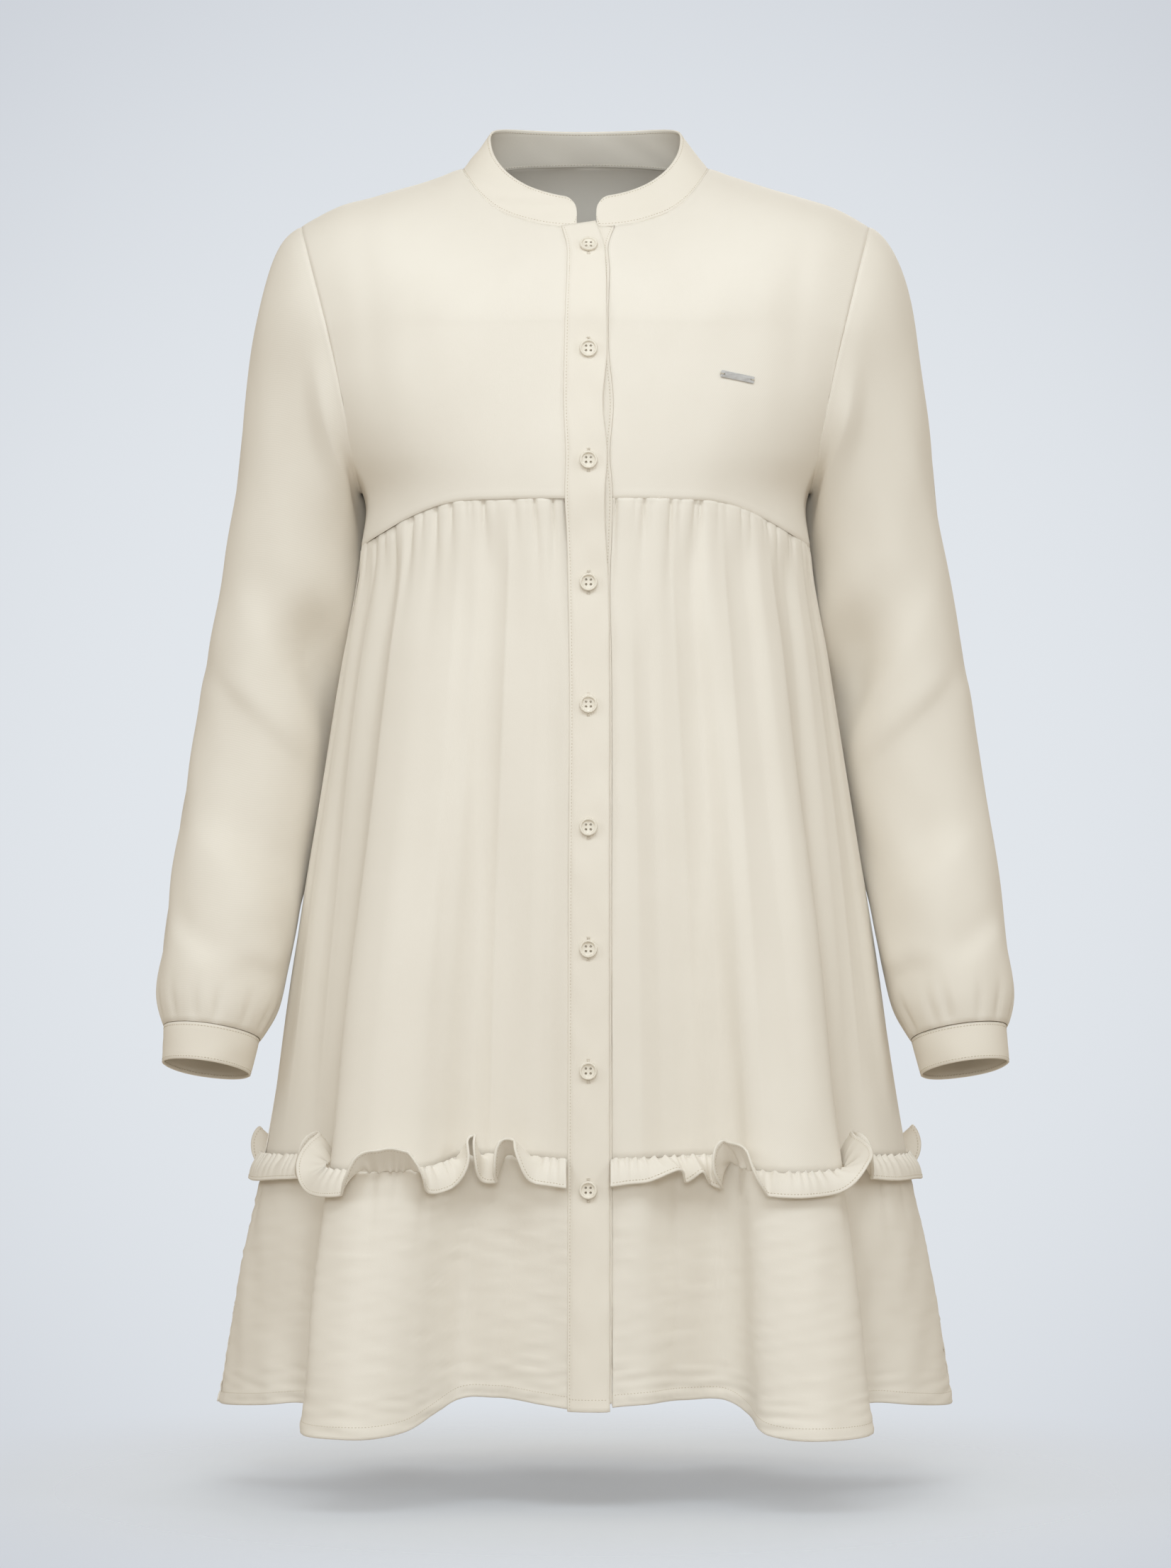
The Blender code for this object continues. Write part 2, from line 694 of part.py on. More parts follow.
def placket_under():
    """Grid of the band with the buttons, between the right panel's edge and the left panel's."""
    rise = placket_rises(PLACKET_UNDER_Z)[:, None]
    x = placket_columns(rise)[1]
    x[:, :1] += PLACKET_OVERLAP + GAP
    x[:, 3:] = placket_x("seam", rise)
    return cloth(front_angle(x, rise), np.broadcast_to(rise, x.shape))


def collar():
    """Grid of the band collar, from its left end round the back to its right end."""
    ends = np.array(COLLAR_END_STEPS)
    scale = (NECK_FRONT + NECK_HALF_WIDTH) / 2
    start = math.degrees(math.asin(COLLAR_END_LEFT_X / NECK_HALF_WIDTH))
    stop = 360 - math.degrees(math.asin(COLLAR_END_RIGHT_X / NECK_HALF_WIDTH))
    step = np.degrees(ends / scale)
    between = np.linspace(start + step[-1], stop - step[-1], 21)[1:-1]
    t = np.concatenate((start + step, between, stop - step[::-1]))
    s, c = np.sin(np.radians(t)), np.cos(np.radians(t))
    base = cloth(*above(*neck(t)))
    top_y = -np.where(c > 0, COLLAR_TOP_FRONT, COLLAR_TOP_BACK) * c
    back = COLLAR_BACK_RISE * (1 - (1 - np.abs(c)) ** 3)
    top_z = COLLAR_SIDE_Z + np.where(c > 0, -COLLAR_FRONT_DROP * c, back)
    top = np.stack((COLLAR_TOP_HALF_WIDTH * s, top_y, top_z), axis=-1)
    from_end = np.minimum(t - t[0], t[-1] - t) * math.radians(scale)
    short = np.clip(1 - from_end / COLLAR_CORNER_LENGTH, 0, 1)
    full = 1 - COLLAR_CORNER_SHARE * (1 - np.sqrt(1 - short**2))
    v = np.linspace(COLLAR_FOOT, 1, 4)[:, None] * full
    return base + v[..., None] * (top - base)


def section(sections, z, turn):
    """Points round the left arm's section centred at a height, and the arm's direction there."""
    names = ("x", "y", "half_width", "half_depth")
    x, y, width, depth = (float(curve(sections["z"], sections[n], z)) for n in names)
    ahead = z - SECTION_STEP
    next_x, next_y = (float(curve(sections["z"], sections[n], ahead)) for n in "xy")
    along = Vector((next_x - x, next_y - y, -SECTION_STEP)).normalized()
    if ahead < sections["z"][0]:
        ends = [Vector([sections[n][i] for n in "xyz"]) for i in (0, 1)]
        along = (ends[0] - ends[1]).normalized()
    across = (Vector((1, 0, 0)) - along * along.x).normalized()
    forward = across.cross(along)
    forward *= -math.copysign(1, forward.y)
    a = np.radians(turn)[:, None]
    ring_points = np.cos(a) * width * np.array(across) + np.sin(a) * depth * np.array(forward)
    return np.array((x, y, z)) + ring_points, np.array(along)


def crease(z, turn):
    """Depth of the arm's creases at a height and a turn."""
    depth = np.zeros_like(turn)
    for i in range(len(CREASES["z"])):
        off = np.abs(signed(turn - CREASES["angle"][i]))
        spread = np.clip(1 - off / CREASES["spread"][i], 0, 1)
        middle = CREASES["z"][i] + CREASES["slope"][i] * np.cos(np.radians(turn))
        shape = np.exp(-(((z - middle) / CREASES["width"][i]) ** 2))
        depth += CREASES["depth"][i] * soft_step(spread) * shape
    return depth


def sleeve(side):
    """Grid of a sleeve, from the armhole down to the cuff; turn 0 is outside, 90 in front."""
    turn = np.arange(SLEEVE_SIDES) * 360.0 / SLEEVE_SIDES
    front = turn <= 180
    start = cloth(*armhole(np.where(front, turn, 360 - turn), front))
    s, c = np.sin(np.radians(turn)), np.cos(np.radians(turn))
    out, around, up, down = (SLEEVE_LEAVES[n] for n in ("out", "around", "up", "down"))
    away = np.stack((np.full_like(turn, out), around * s, up - down * c), axis=-1)
    away /= np.linalg.norm(away, axis=-1, keepdims=True)
    start = start + SLEEVE_START_GAP * away
    end, along = section(SLEEVE, ARM_Z[0], turn)
    span = np.linalg.norm(end - start, axis=-1, keepdims=True)
    rows = []
    for t in CAP_STEPS:
        ease = t * t * (3 - 2 * t)
        pull = SLEEVE_START_PULL * t * (1 - t) ** 2 * away - SLEEVE_END_PULL * t * t * (1 - t) * along
        rows.append(start * (1 - ease) + end * ease + span * pull)
    for z in ARM_Z:
        points, _ = section(SLEEVE, z, turn)
        centre = points.mean(axis=0)
        radial = (points - centre) / np.linalg.norm(points - centre, axis=-1, keepdims=True)
        share = soft_step((SLEEVE_GATHER_Z - z) / SLEEVE_GATHER_LENGTH)
        share *= SLEEVE_GATHER_SEAM if z == ARM_Z[-1] else 1.0
        move = SLEEVE_GATHER_DEPTH * share * np.cos(SLEEVE_GATHERS * np.radians(turn)) - crease(z, turn)
        rows.append(points + radial * move[:, None])
    return np.stack(rows) * (side, 1, 1)


def cuff(side):
    """Grid of a cuff."""
    turn = np.arange(SLEEVE_SIDES) * 360.0 / SLEEVE_SIDES
    rows = [section(CUFF, z, turn)[0] for z in (CUFF["z"][1], CUFF["z"][0])]
    return np.stack(rows) * (side, 1, 1)


def seated(x, z, lift, tilt=0.0):
    """Placement on the front at x and z, its own z along the cloth's normal."""
    angle, rise = beside(np.array(x), np.array(z), True)
    normal = Vector(outward(angle, rise))
    point = Vector(lifted(angle, rise, lift))
    across = (Vector((1, 0, 0)) - normal * normal.x).normalized()
    turn = Matrix((across, normal.cross(across), normal)).transposed().to_4x4()
    return Matrix.Translation(point) @ turn @ Matrix.Rotation(math.radians(tilt), 4, "Z")


def button(number, z):
    """A rimmed button with a dished middle, on the over band."""
    profile = (
        (0.0, 0.0),
        (1.0, 0.0),
        (1.0, 0.8),
        (0.9, 1.0),
        (0.72, 0.6),
        (0.0, 0.6),
    )
    made = bmesh.new()
    corners = [made.verts.new((r * BUTTON_RADIUS, 0, h * BUTTON_HEIGHT)) for r, h in profile]
    edges = [made.edges.new(ends) for ends in zip(corners[:-1], corners[1:])]
    turned = {"cent": (0, 0, 0), "axis": (0, 0, 1), "angle": 2 * math.pi, "steps": BUTTON_SIDES}
    bmesh.ops.spin(made, geom=corners + edges, **turned)
    bmesh.ops.remove_doubles(made, verts=made.verts, dist=1e-5)
    bmesh.ops.recalc_face_normals(made, faces=made.faces)
    mesh = bpy.data.meshes.new(f"button_{number}")
    made.to_mesh(mesh)
    made.free()
    placed = add(f"button_{number}", mesh, BUTTON_PLASTIC)
    placed.matrix_world = seated(BUTTON_X, z, LAYER + WALL / 2 + GAP)


def name_bar():
    """The plain metal bar on the wearer's left chest, with a sewing hole at each end."""
    made = bmesh.new()
    size = Matrix.Diagonal((BAR_LENGTH, BAR_HEIGHT, BAR_THICKNESS, 1))
    bmesh.ops.create_cube(made, size=1, matrix=size)
    mesh = bpy.data.meshes.new("name_bar")
    made.to_mesh(mesh)
    made.free()
    bar = add("name_bar", mesh, STEEL)
    bar.matrix_world = seated(BAR_X, BAR_Z, WALL / 2 + GAP + BAR_THICKNESS / 2, BAR_TILT)
    for end in (-1, 1):
        drill = bmesh.new()
        radius = {"radius1": BAR_HOLE_RADIUS, "radius2": BAR_HOLE_RADIUS}
        bmesh.ops.create_cone(drill, cap_ends=True, segments=8, depth=3 * BAR_THICKNESS, **radius)
        cutter_mesh = bpy.data.meshes.new("bar_drill")
        drill.to_mesh(cutter_mesh)
        drill.free()
        cutter = bpy.data.objects.new("bar_drill", cutter_mesh)
        bpy.context.scene.collection.objects.link(cutter)
        shift = Matrix.Translation((end * (BAR_LENGTH / 2 - BAR_HOLE_INSET), 0, 0))
        cutter.matrix_world = bar.matrix_world @ shift
        cutter.hide_render = True
        cutter.display_type = "WIRE"
        hole = bar.modifiers.new("hole", "BOOLEAN")
        hole.operation = "DIFFERENCE"
        hole.object = cutter


def fixed(angle):
    """The same angle at every rise."""
    return lambda rise: angle


def main():
    """Builds every piece."""
    for old in list(bpy.data.objects):
        bpy.data.objects.remove(old)
    near, far = side_angle(), 360 - (180 - side_angle())
    for side, name in ((1, "left"), (-1, "right")):
        wall(f"front_bodice_{name}", bodice_front(side))
        edges = (opening_angle(side), fixed(side * near))
        wall(f"front_skirt_{name}", skirt(*edges, GATHERS_FRONT))
        wall(f"tier_front_{name}", band(*edges, ruffle_rise, hem_rise, TIER_STEPS, GATHERS_FRONT))
        level = ruffle_rise(0.0)
        edge = abs(placket_x("right" if side > 0 else "left", level))
        waves = WAVES_LEFT if side > 0 else WAVES_RIGHT
        start = float(front_angle(edge + RUFFLE_END_GAP, level))
        angles = side * np.array(wave_angles(waves, start, near))
        wall(f"ruffle_front_{name}", ruffle(angles), even=False)
        wall(f"sleeve_{name}", sleeve(side), closed=True)
        wall(f"cuff_{name}", cuff(side), thickness=STIFF_WALL, closed=True)
    back = (fixed(180 - near), fixed(180 + near))
    wall("back_bodice", bodice_back())
    wall("back_skirt", skirt(*back, GATHERS_BACK))
    wall("tier_back", band(*back, ruffle_rise, hem_rise, TIER_STEPS, GATHERS_BACK))
    left_half = wave_angles(WAVES_LEFT, 180 - near, 180.0)
    right_half = [360 - a for a in wave_angles(WAVES_RIGHT, 180 - near, 180.0)][-2::-1]
    wall("ruffle_back", ruffle(left_half + right_half), even=False)
    wall("collar", collar(), thickness=STIFF_WALL)
    wall("placket_over", placket_over())
    wall("placket_under", placket_under())
    for number, z in enumerate(BUTTON_Z, start=1):
        button(number, z)
    name_bar()


main()
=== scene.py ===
"""Looks of the tunic top: thin crepe shells on the solids' forms, with their creases, gathers and sewing.

Frame: metres, +Z up, the front faces -Y, +X is the wearer's left.
"""
import math

import bmesh
import bpy
import numpy as np
from mathutils import Matrix, Vector


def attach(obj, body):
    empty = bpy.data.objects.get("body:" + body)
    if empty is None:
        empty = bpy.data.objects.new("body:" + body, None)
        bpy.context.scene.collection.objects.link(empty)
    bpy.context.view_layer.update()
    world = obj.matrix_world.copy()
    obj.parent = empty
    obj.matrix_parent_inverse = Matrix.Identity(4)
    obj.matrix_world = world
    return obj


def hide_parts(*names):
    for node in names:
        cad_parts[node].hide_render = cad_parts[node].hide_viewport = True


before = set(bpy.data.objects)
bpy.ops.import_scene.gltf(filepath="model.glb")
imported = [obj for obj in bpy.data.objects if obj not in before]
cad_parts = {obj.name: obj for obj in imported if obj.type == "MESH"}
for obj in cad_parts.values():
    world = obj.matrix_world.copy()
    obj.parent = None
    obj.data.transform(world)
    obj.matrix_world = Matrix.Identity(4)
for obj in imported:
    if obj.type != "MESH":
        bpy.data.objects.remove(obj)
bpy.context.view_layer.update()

# Cloth. The shells are thinner than the solids' walls and run along their middles.
CLOTH = 0.0009
BAND = 0.0012
STIFF = 0.0015
GAP = 0.0003
LAYER = 0.0018

# The body: a rounded section at each height, and a vault above the chest line up to the shoulder seam.
SQUARENESS = 2.2
CHEST_Z = -0.115
VAULT = 0.17
SHOULDER_GAP = 0.0004

# Neck seam, an oval seen from above.
NECK_HALF_WIDTH = 0.084
NECK_FRONT = 0.072
NECK_BACK = 0.062
NECK_FULLNESS = 0.12
NECK_CUT = 0.0010

# Armhole, seen from the front.
SHOULDER_TIP_X = 0.1955
SHOULDER_TIP_Z = -0.0405
UNDERARM_Z = -0.224
ARMHOLE_BOW = 0.003

# Collar.
COLLAR_TOP_HALF_WIDTH = 0.066
COLLAR_TOP_FRONT = 0.056
COLLAR_TOP_BACK = 0.050
COLLAR_SIDE_Z = 0.0216
COLLAR_FRONT_DROP = 0.047
COLLAR_BACK_RISE = 0.0095
COLLAR_END_RIGHT_X = 0.0063
COLLAR_END_LEFT_X = 0.0078
COLLAR_CORNER_LENGTH = 0.0115
COLLAR_CORNER_SHARE = 0.62
COLLAR_END_STEPS = (0.0, 0.0015, 0.004, 0.0075, 0.0115)
COLLAR_FOOT = -0.045

# Bodice columns and rows, and the gathers under it.
NECK_POINTS = 60
SHOULDER_POINTS = 42
BODICE_ROWS = 76
PATCH_TURNS = 1500
GATHERS_FRONT = 14
GATHERS_BACK = 28
GATHER_DEPTH = 0.0021
GATHER_EDGE = 20
NECK_SEAM_ANGLE = 0.5

# Hem tier and ruffle.
HEM_Z = -0.853
RUFFLE_Z = -0.681
RUFFLE_LIFT = 0.45
RUFFLE_WIDTH = 0.020
RUFFLE_ROOT = 0.0028
RUFFLE_END_GAP = 0.0009

# Placket and buttons.
PLACKET_OVERLAP = 0.0025
PLACKET_SEAM_GAP = 0.0007
PLACKET_OVER_Z = -0.8415
PLACKET_UNDER_Z = -0.836
BUTTON_X = 0.002
BUTTON_RADIUS = 0.006
BUTTON_HEIGHT = 0.0024
BUTTON_SIDES = 48

# Sleeves.
SLEEVE_SIDES = 96
SLEEVE_START_GAP = 0.0003
SLEEVE_START_PULL = 0.55
SLEEVE_END_PULL = 1.05
SLEEVE_GATHERS = 13
SLEEVE_GATHER_DEPTH = 0.0012
ARMPIT_Z = -0.238
ARMPIT_PUSH = 0.012
BEHIND_PUSH = 0.009
SLEEVE_LEAVES = {"out": 0.93, "around": 0.3, "up": 0.04, "down": 0.40}
SECTION_STEP = 0.004

# Name bar.
BAR_LENGTH = 0.0236
BAR_HEIGHT = 0.0047
BAR_THICKNESS = 0.001
BAR_HOLE_RADIUS = 0.0006
BAR_HOLE_INSET = 0.0022
BAR_X = 0.102
BAR_Z = -0.151
BAR_TILT = -9.2

# Steps for measuring the cloth's slope.
ANGLE_STEP = 0.05
RISE_STEP = 0.0004

# How the shells are cut up. Rows and columns are closer where the form is finer.
RIM = 0.7
SKIRT_COLUMNS = 196
TIER_COLUMNS = 150
RUFFLE_COLUMNS = 340
SLEEVE_CAP_ROWS = 48
SLEEVE_ARM_ROWS = 96
CUFF_SIDES = 100
BAND_ROWS = 280
SKIRT_ROWS = np.concatenate((np.linspace(0, 0.03, 7), np.linspace(0.03, 1, 88)[1:]))
TIER_ROWS = np.concatenate((np.linspace(0, 0.85, 42), np.linspace(0.85, 1, 18)[1:]))
RUFFLE_ROWS = np.array((0, 0.06, 0.12, 0.2, 0.3, 0.42, 0.54, 0.66, 0.76, 0.84, 0.88, 0.905, 0.93, 0.965, 1.0))
BAND_COLUMNS = np.array((0, 0.02, 0.045, 0.07, 0.1, 0.14, 0.2, 0.28, 0.38, 0.5, 0.62, 0.74, 0.85, 0.94, 1.0))

# Sewing.
STITCH_PITCH = 0.0022
STITCH_LENGTH = 0.0015
THREAD = 0.00023
HEM_DEPTH = 0.0078
PLACKET_HEM = 0.0078
RUFFLE_HEM = 0.0021
BAND_STITCH = 0.0016
COLLAR_STITCH = 0.0017
CUFF_STITCH = 0.0017
RUFFLE_LEAN = 0.0058
RUFFLE_SOFTENING = 15
RUFFLE_SNAP = 1.15
PLACKET_TOP_Z = -0.0545
CORNER_RISE = 0.0032
SEAM_LAP = 0.0004
SEAM_TUCK = 0.0001
CREASES_PER_GATHER = 1.6
ARM_TOP_Z = -0.265
ARM_END_Z = -0.596
ARM_ARC = 0.0008

# Button holes.
HOLE_OFF = 0.0016
HOLE_RADIUS = 0.00084
HOLE_LENGTH = 0.0072

# Materials.
WEAVE_PITCH = 0.0009
WEAVE_ANGLE = 35
GRAIN = 0.0007

# Stage.
FLOOR_Z = -0.910
FLOOR_RADIUS = 0.60
FLOOR_FADE = 0.12
FLOOR_SHOWS = 0.62
FLOOR_COLOUR = (0.74, 0.765, 0.80)
# Backdrop seen by the camera: a painted pool of light, brighter in the middle round the tunic and darker at the edges.
BACKDROP_PAINTED_LIGHT_MIDDLE = (0.765, 0.80, 0.84)
BACKDROP_PAINTED_DIM_EDGE = (0.60, 0.63, 0.68)
BACKDROP_TURN = 11.0
AMBIENT = (1.0, 0.865, 0.67)
AMBIENT_STRENGTH = 0.44
LAMPS = (
    ("key", (0.0, -1.75, 1.30), (0, 0, -0.15), (1.8, 0.9), 23.0, (0.835, 0.93, 1.0)),
    ("front", (0.0, -3.4, 0.15), (0, 0, -0.25), (1.0, 0.7), 23.0, (0.86, 0.94, 1.0)),
    ("left", (2.5, -1.5, 0.6), (0, 0, -0.35), (0.8, 1.2), 12.0, (0.835, 0.93, 1.0)),
    ("right", (-2.5, -1.5, 0.6), (0, 0, -0.35), (0.8, 1.2), 13.0, (0.835, 0.93, 1.0)),
    ("back", (0.4, 2.6, 1.1), (0, 0, -0.35), (2.0, 1.4), 30.0, (0.92, 0.965, 1.0)),
)
CAMERA_PLACE = (0.0, -4.0, -0.425)
LENS = 132.8


def table(names, *rows):
    """A short table as a dictionary of columns."""
    return dict(zip(names.split(), np.array(rows, dtype=float).T))


# Sections of the plain body, from the hem up.
BODY = table(
    "z      half_width front back",
    (-0.853, 0.2520, 0.160, 0.168),
    (-0.770, 0.2390, 0.157, 0.160),
    (-0.680, 0.2205, 0.153, 0.148),
    (-0.540, 0.1995, 0.146, 0.128),
    (-0.420, 0.1804, 0.136, 0.110),
    (-0.340, 0.1680, 0.129, 0.100),
    (-0.262, 0.1545, 0.124, 0.093),
    (-0.224, 0.1537, 0.125, 0.095),
    (-0.200, 0.1710, 0.124, 0.096),
    (-0.165, 0.1940, 0.120, 0.098),
    (-0.115, 0.2160, 0.112, 0.098),
)

# Shoulder seam's height along x, and how round the vault is in front of it.
SHOULDER = table(
    "x      z       roundness",
    (0.000, 0.000, 1.47),
    (0.040, 0.000, 1.44),
    (0.070, 0.000, 1.43),
    (0.084, 0.000, 1.50),
    (0.100, -0.0055, 1.65),
    (0.146, -0.0200, 2.10),
    (0.171, -0.0275, 2.20),
    (0.1955, -0.0405, 2.20),
    (0.216, -0.0560, 2.20),
)
BACK_ROUNDNESS = 2.5
BACK_NECK_RISE = 0.03
BACK_NECK_POWER = 1.25

# Curved seam under the bust, from the centre front round to the centre back.
BUST_SEAM = table(
    "angle z",
    (0, -0.2335),
    (25, -0.2335),
    (42, -0.2355),
    (56, -0.2450),
    (66, -0.2535),
    (90, -0.2635),
    (130, -0.2630),
    (180, -0.2610),
)

# Hem folds: where the hem runs, angle degrees round the plain body from the centre front.
FOLDS_RIGHT = table(
    "angle x      y      z",
    (0, 0.000, -0.163, -0.8405),
    (10, 0.029, -0.148, -0.8380),
    (21, 0.060, -0.130, -0.8350),
    (31, 0.091, -0.138, -0.8380),
    (34.5, 0.104, -0.155, -0.8460),
    (38, 0.1155, -0.170, -0.8520),
    (44, 0.137, -0.183, -0.8565),
    (50.5, 0.162, -0.185, -0.8570),
    (56, 0.188, -0.165, -0.8560),
    (64, 0.178, -0.095, -0.8460),
    (69, 0.1935, -0.070, -0.8450),
    (76, 0.219, -0.055, -0.8480),
    (90, 0.253, 0.000, -0.8520),
    (100, 0.240, 0.045, -0.8500),
    (112, 0.242, 0.098, -0.8560),
    (128, 0.157, 0.1225, -0.8450),
    (142, 0.1326, 0.1697, -0.8560),
    (157, 0.0627, 0.1477, -0.8450),
    (169, 0.0352, 0.1811, -0.8540),
    (180, 0.000, 0.162, -0.8490),
)
FOLDS_LEFT = table(
    "angle x      y      z",
    (0, 0.000, -0.163, -0.8405),
    (8, 0.0225, -0.161, -0.8380),
    (14.5, 0.041, -0.157, -0.8370),
    (23, 0.066, -0.137, -0.8360),
    (31, 0.096, -0.134, -0.8370),
    (35.5, 0.109, -0.150, -0.8440),
    (38.5, 0.115, -0.172, -0.8520),
    (43, 0.130, -0.186, -0.8565),
    (50, 0.165, -0.187, -0.8575),
    (55.5, 0.189, -0.166, -0.8560),
    (64, 0.178, -0.095, -0.8460),
    (69, 0.195, -0.070, -0.8450),
    (76, 0.224, -0.055, -0.8480),
    (90, 0.253, 0.000, -0.8520),
    (99, 0.243, 0.040, -0.8490),
    (115, 0.236, 0.110, -0.8560),
    (131, 0.149, 0.124, -0.8440),
    (146, 0.117, 0.176, -0.8570),
    (160, 0.0535, 0.150, -0.8460),
    (171, 0.028, 0.178, -0.8530),
    (180, 0.000, 0.162, -0.8490),
)

# How much of the hem's folds shows at each height.
FOLD_SHARE = table(
    "z      share",
    (-0.860, 1.02),
    (-0.853, 1.00),
    (-0.770, 0.82),
    (-0.681, 0.62),
    (-0.560, 0.40),
    (-0.450, 0.22),
    (-0.340, 0.07),
    (-0.2635, 0.00),
    (-0.2300, 0.00),
)

# Ruffle waves: swing is the strip's angle off straight down, 180 is straight up.
WAVES_RIGHT = table(
    "angle swing",
    (0, 30),
    (6.2, 28),
    (9.8, 30),
    (13.8, 126),
    (16.8, 128),
    (20.2, 32),
    (23.4, 28),
    (26.6, 134),
    (30.2, 136),
    (33.8, 30),
    (37.4, 26),
    (41.6, 128),
    (44.8, 140),
    (47.8, 130),
    (52.0, 28),
    (55.0, 26),
    (62.5, 150),
    (71, 32),
    (77, 26),
    (97, 24),
    (103, 130),
    (109, 28),
    (115, 140),
    (124, 28),
    (134, 150),
    (144, 28),
    (152, 140),
    (161, 30),
    (170, 150),
    (180, 28),
)
WAVES_LEFT = table(
    "angle swing",
    (0, 30),
    (12.2, 28),
    (18.7, 66),
    (22.4, 30),
    (25.6, 62),
    (28.8, 28),
    (33.6, 28),
    (36.8, 146),
    (39.2, 148),
    (42.6, 28),
    (50, 25),
    (60, 155),
    (70.5, 30),
    (77, 26),
    (97, 24),
    (103, 130),
    (109.5, 28),
    (117, 150),
    (127, 28),
    (136, 140),
    (147, 30),
    (155, 152),
    (164, 28),
    (171, 120),
    (180, 28),
)

# Placket edges, the seam of the under band, and how far the free edge stands out, from the hem up.
PLACKET = table(
    "z      left     right   seam    lift",
    (-0.845, -0.0108, 0.0155, 0.0172, 0.0000),
    (-0.500, -0.0108, 0.0155, 0.0170, 0.0000),
    (-0.333, -0.0106, 0.0155, 0.0168, 0.0003),
    (-0.290, -0.0114, 0.0150, 0.0160, 0.0000),
    (-0.258, -0.0122, 0.0130, 0.0172, 0.0016),
    (-0.2285, -0.0136, 0.0125, 0.0178, 0.0018),
    (-0.206, -0.0130, 0.0142, 0.0160, 0.0000),
    (-0.170, -0.0144, 0.0112, 0.0183, 0.0024),
    (-0.133, -0.0140, 0.0142, 0.0152, 0.0000),
    (-0.100, -0.0132, 0.0138, 0.0152, 0.0006),
    (-0.076, -0.0122, 0.0134, 0.0158, 0.0000),
    (-0.060, -0.0125, 0.0120, 0.0150, 0.0000),
    (-0.045, -0.0165, 0.0062, 0.0200, 0.0000),
)
# Buttons: outline from the middle of the back round the rim to the middle of the face, in radii and heights.
BUTTON_PROFILE = table(
    "radius height",
    (0.0, 0.0),
    (0.86, 0.0),
    (0.96, 0.12),
    (1.0, 0.40),
    (1.0, 0.70),
    (0.97, 0.90),
    (0.91, 1.0),
    (0.83, 1.0),
    (0.77, 0.92),
    (0.74, 0.70),
    (0.72, 0.48),
    (0.68, 0.42),
    (0.0, 0.42),
)
BUTTON_Z = (-0.062, -0.133, -0.208, -0.290, -0.372, -0.454, -0.535, -0.616, -0.695)

# Sections of the left sleeve below the underarm, square to the arm.
SLEEVE = table(
    "z      x       y       half_width half_depth",
    (-0.596, 0.2570, -0.0180, 0.0335, 0.0350),
    (-0.578, 0.2544, -0.0136, 0.0405, 0.0410),
    (-0.545, 0.2482, -0.0045, 0.0436, 0.0430),
    (-0.500, 0.2420, 0.0090, 0.0450, 0.0450),
    (-0.420, 0.2290, 0.0260, 0.0464, 0.0470),
    (-0.340, 0.2160, 0.0280, 0.0462, 0.0490),
    (-0.265, 0.2020, 0.0200, 0.0462, 0.0520),
)
CUFF = table(
    "z      x       y       half_width half_depth",
    (-0.6205, 0.2606, -0.0240, 0.0300, 0.0315),
    (-0.5967, 0.2572, -0.0182, 0.0325, 0.0340),
)

# Long folds of the skirt: from and to in degrees round the body, how wide each side is, the side with the
# crest (1 for the end, -1 for the start), height, and the heights between which each shows.
DRAPES = table(
    "start end soft_start soft_end crest height top bottom",
    (-31.0, -23.5, 8.0, 4.5, 1, -0.0042, -0.235, -0.76),
    (-37.5, -33.5, 3.0, 3.0, 0, -0.0012, -0.260, -0.66),
    (-12.5, -7.0, 4.0, 4.0, 0, -0.0012, -0.300, -0.80),
    (-66.0, -57.0, 7.0, 5.0, 1, -0.0040, -0.240, -0.66),
    (-76.5, -70.5, 5.0, 4.0, 1, -0.0026, -0.245, -0.70),
    (-86.0, -81.0, 4.0, 3.0, 1, -0.0020, -0.260, -0.70),
    (14.0, 20.5, 5.0, 4.0, -1, -0.0018, -0.300, -0.78),
    (26.5, 34.0, 7.0, 5.0, -1, -0.0038, -0.235, -0.68),
    (42.0, 50.5, 6.0, 5.0, -1, -0.0034, -0.240, -0.72),
    (57.5, 66.5, 7.0, 5.0, -1, -0.0042, -0.245, -0.66),
    (73.0, 80.0, 4.0, 4.0, -1, -0.0022, -0.260, -0.70),
    (98.0, 107.0, 5.0, 6.0, 1, -0.0034, -0.262, -0.68),
    (116.0, 124.0, 6.0, 7.0, 1, -0.0044, -0.262, -0.74),
    (134.0, 141.0, 5.0, 5.0, -1, -0.0030, -0.262, -0.62),
    (153.0, 163.0, 6.0, 7.0, 1, -0.0046, -0.262, -0.72),
    (170.0, 175.0, 4.0, 4.0, 0, -0.0016, -0.280, -0.76),
    (-108.0, -99.0, 6.0, 6.0, -1, -0.0034, -0.262, -0.72),
    (-124.0, -115.0, 7.0, 6.0, -1, -0.0042, -0.262, -0.66),
    (-146.0, -137.0, 6.0, 6.0, 1, -0.0038, -0.262, -0.74),
    (-168.0, -159.0, 7.0, 6.0, -1, -0.0044, -0.262, -0.64),
)

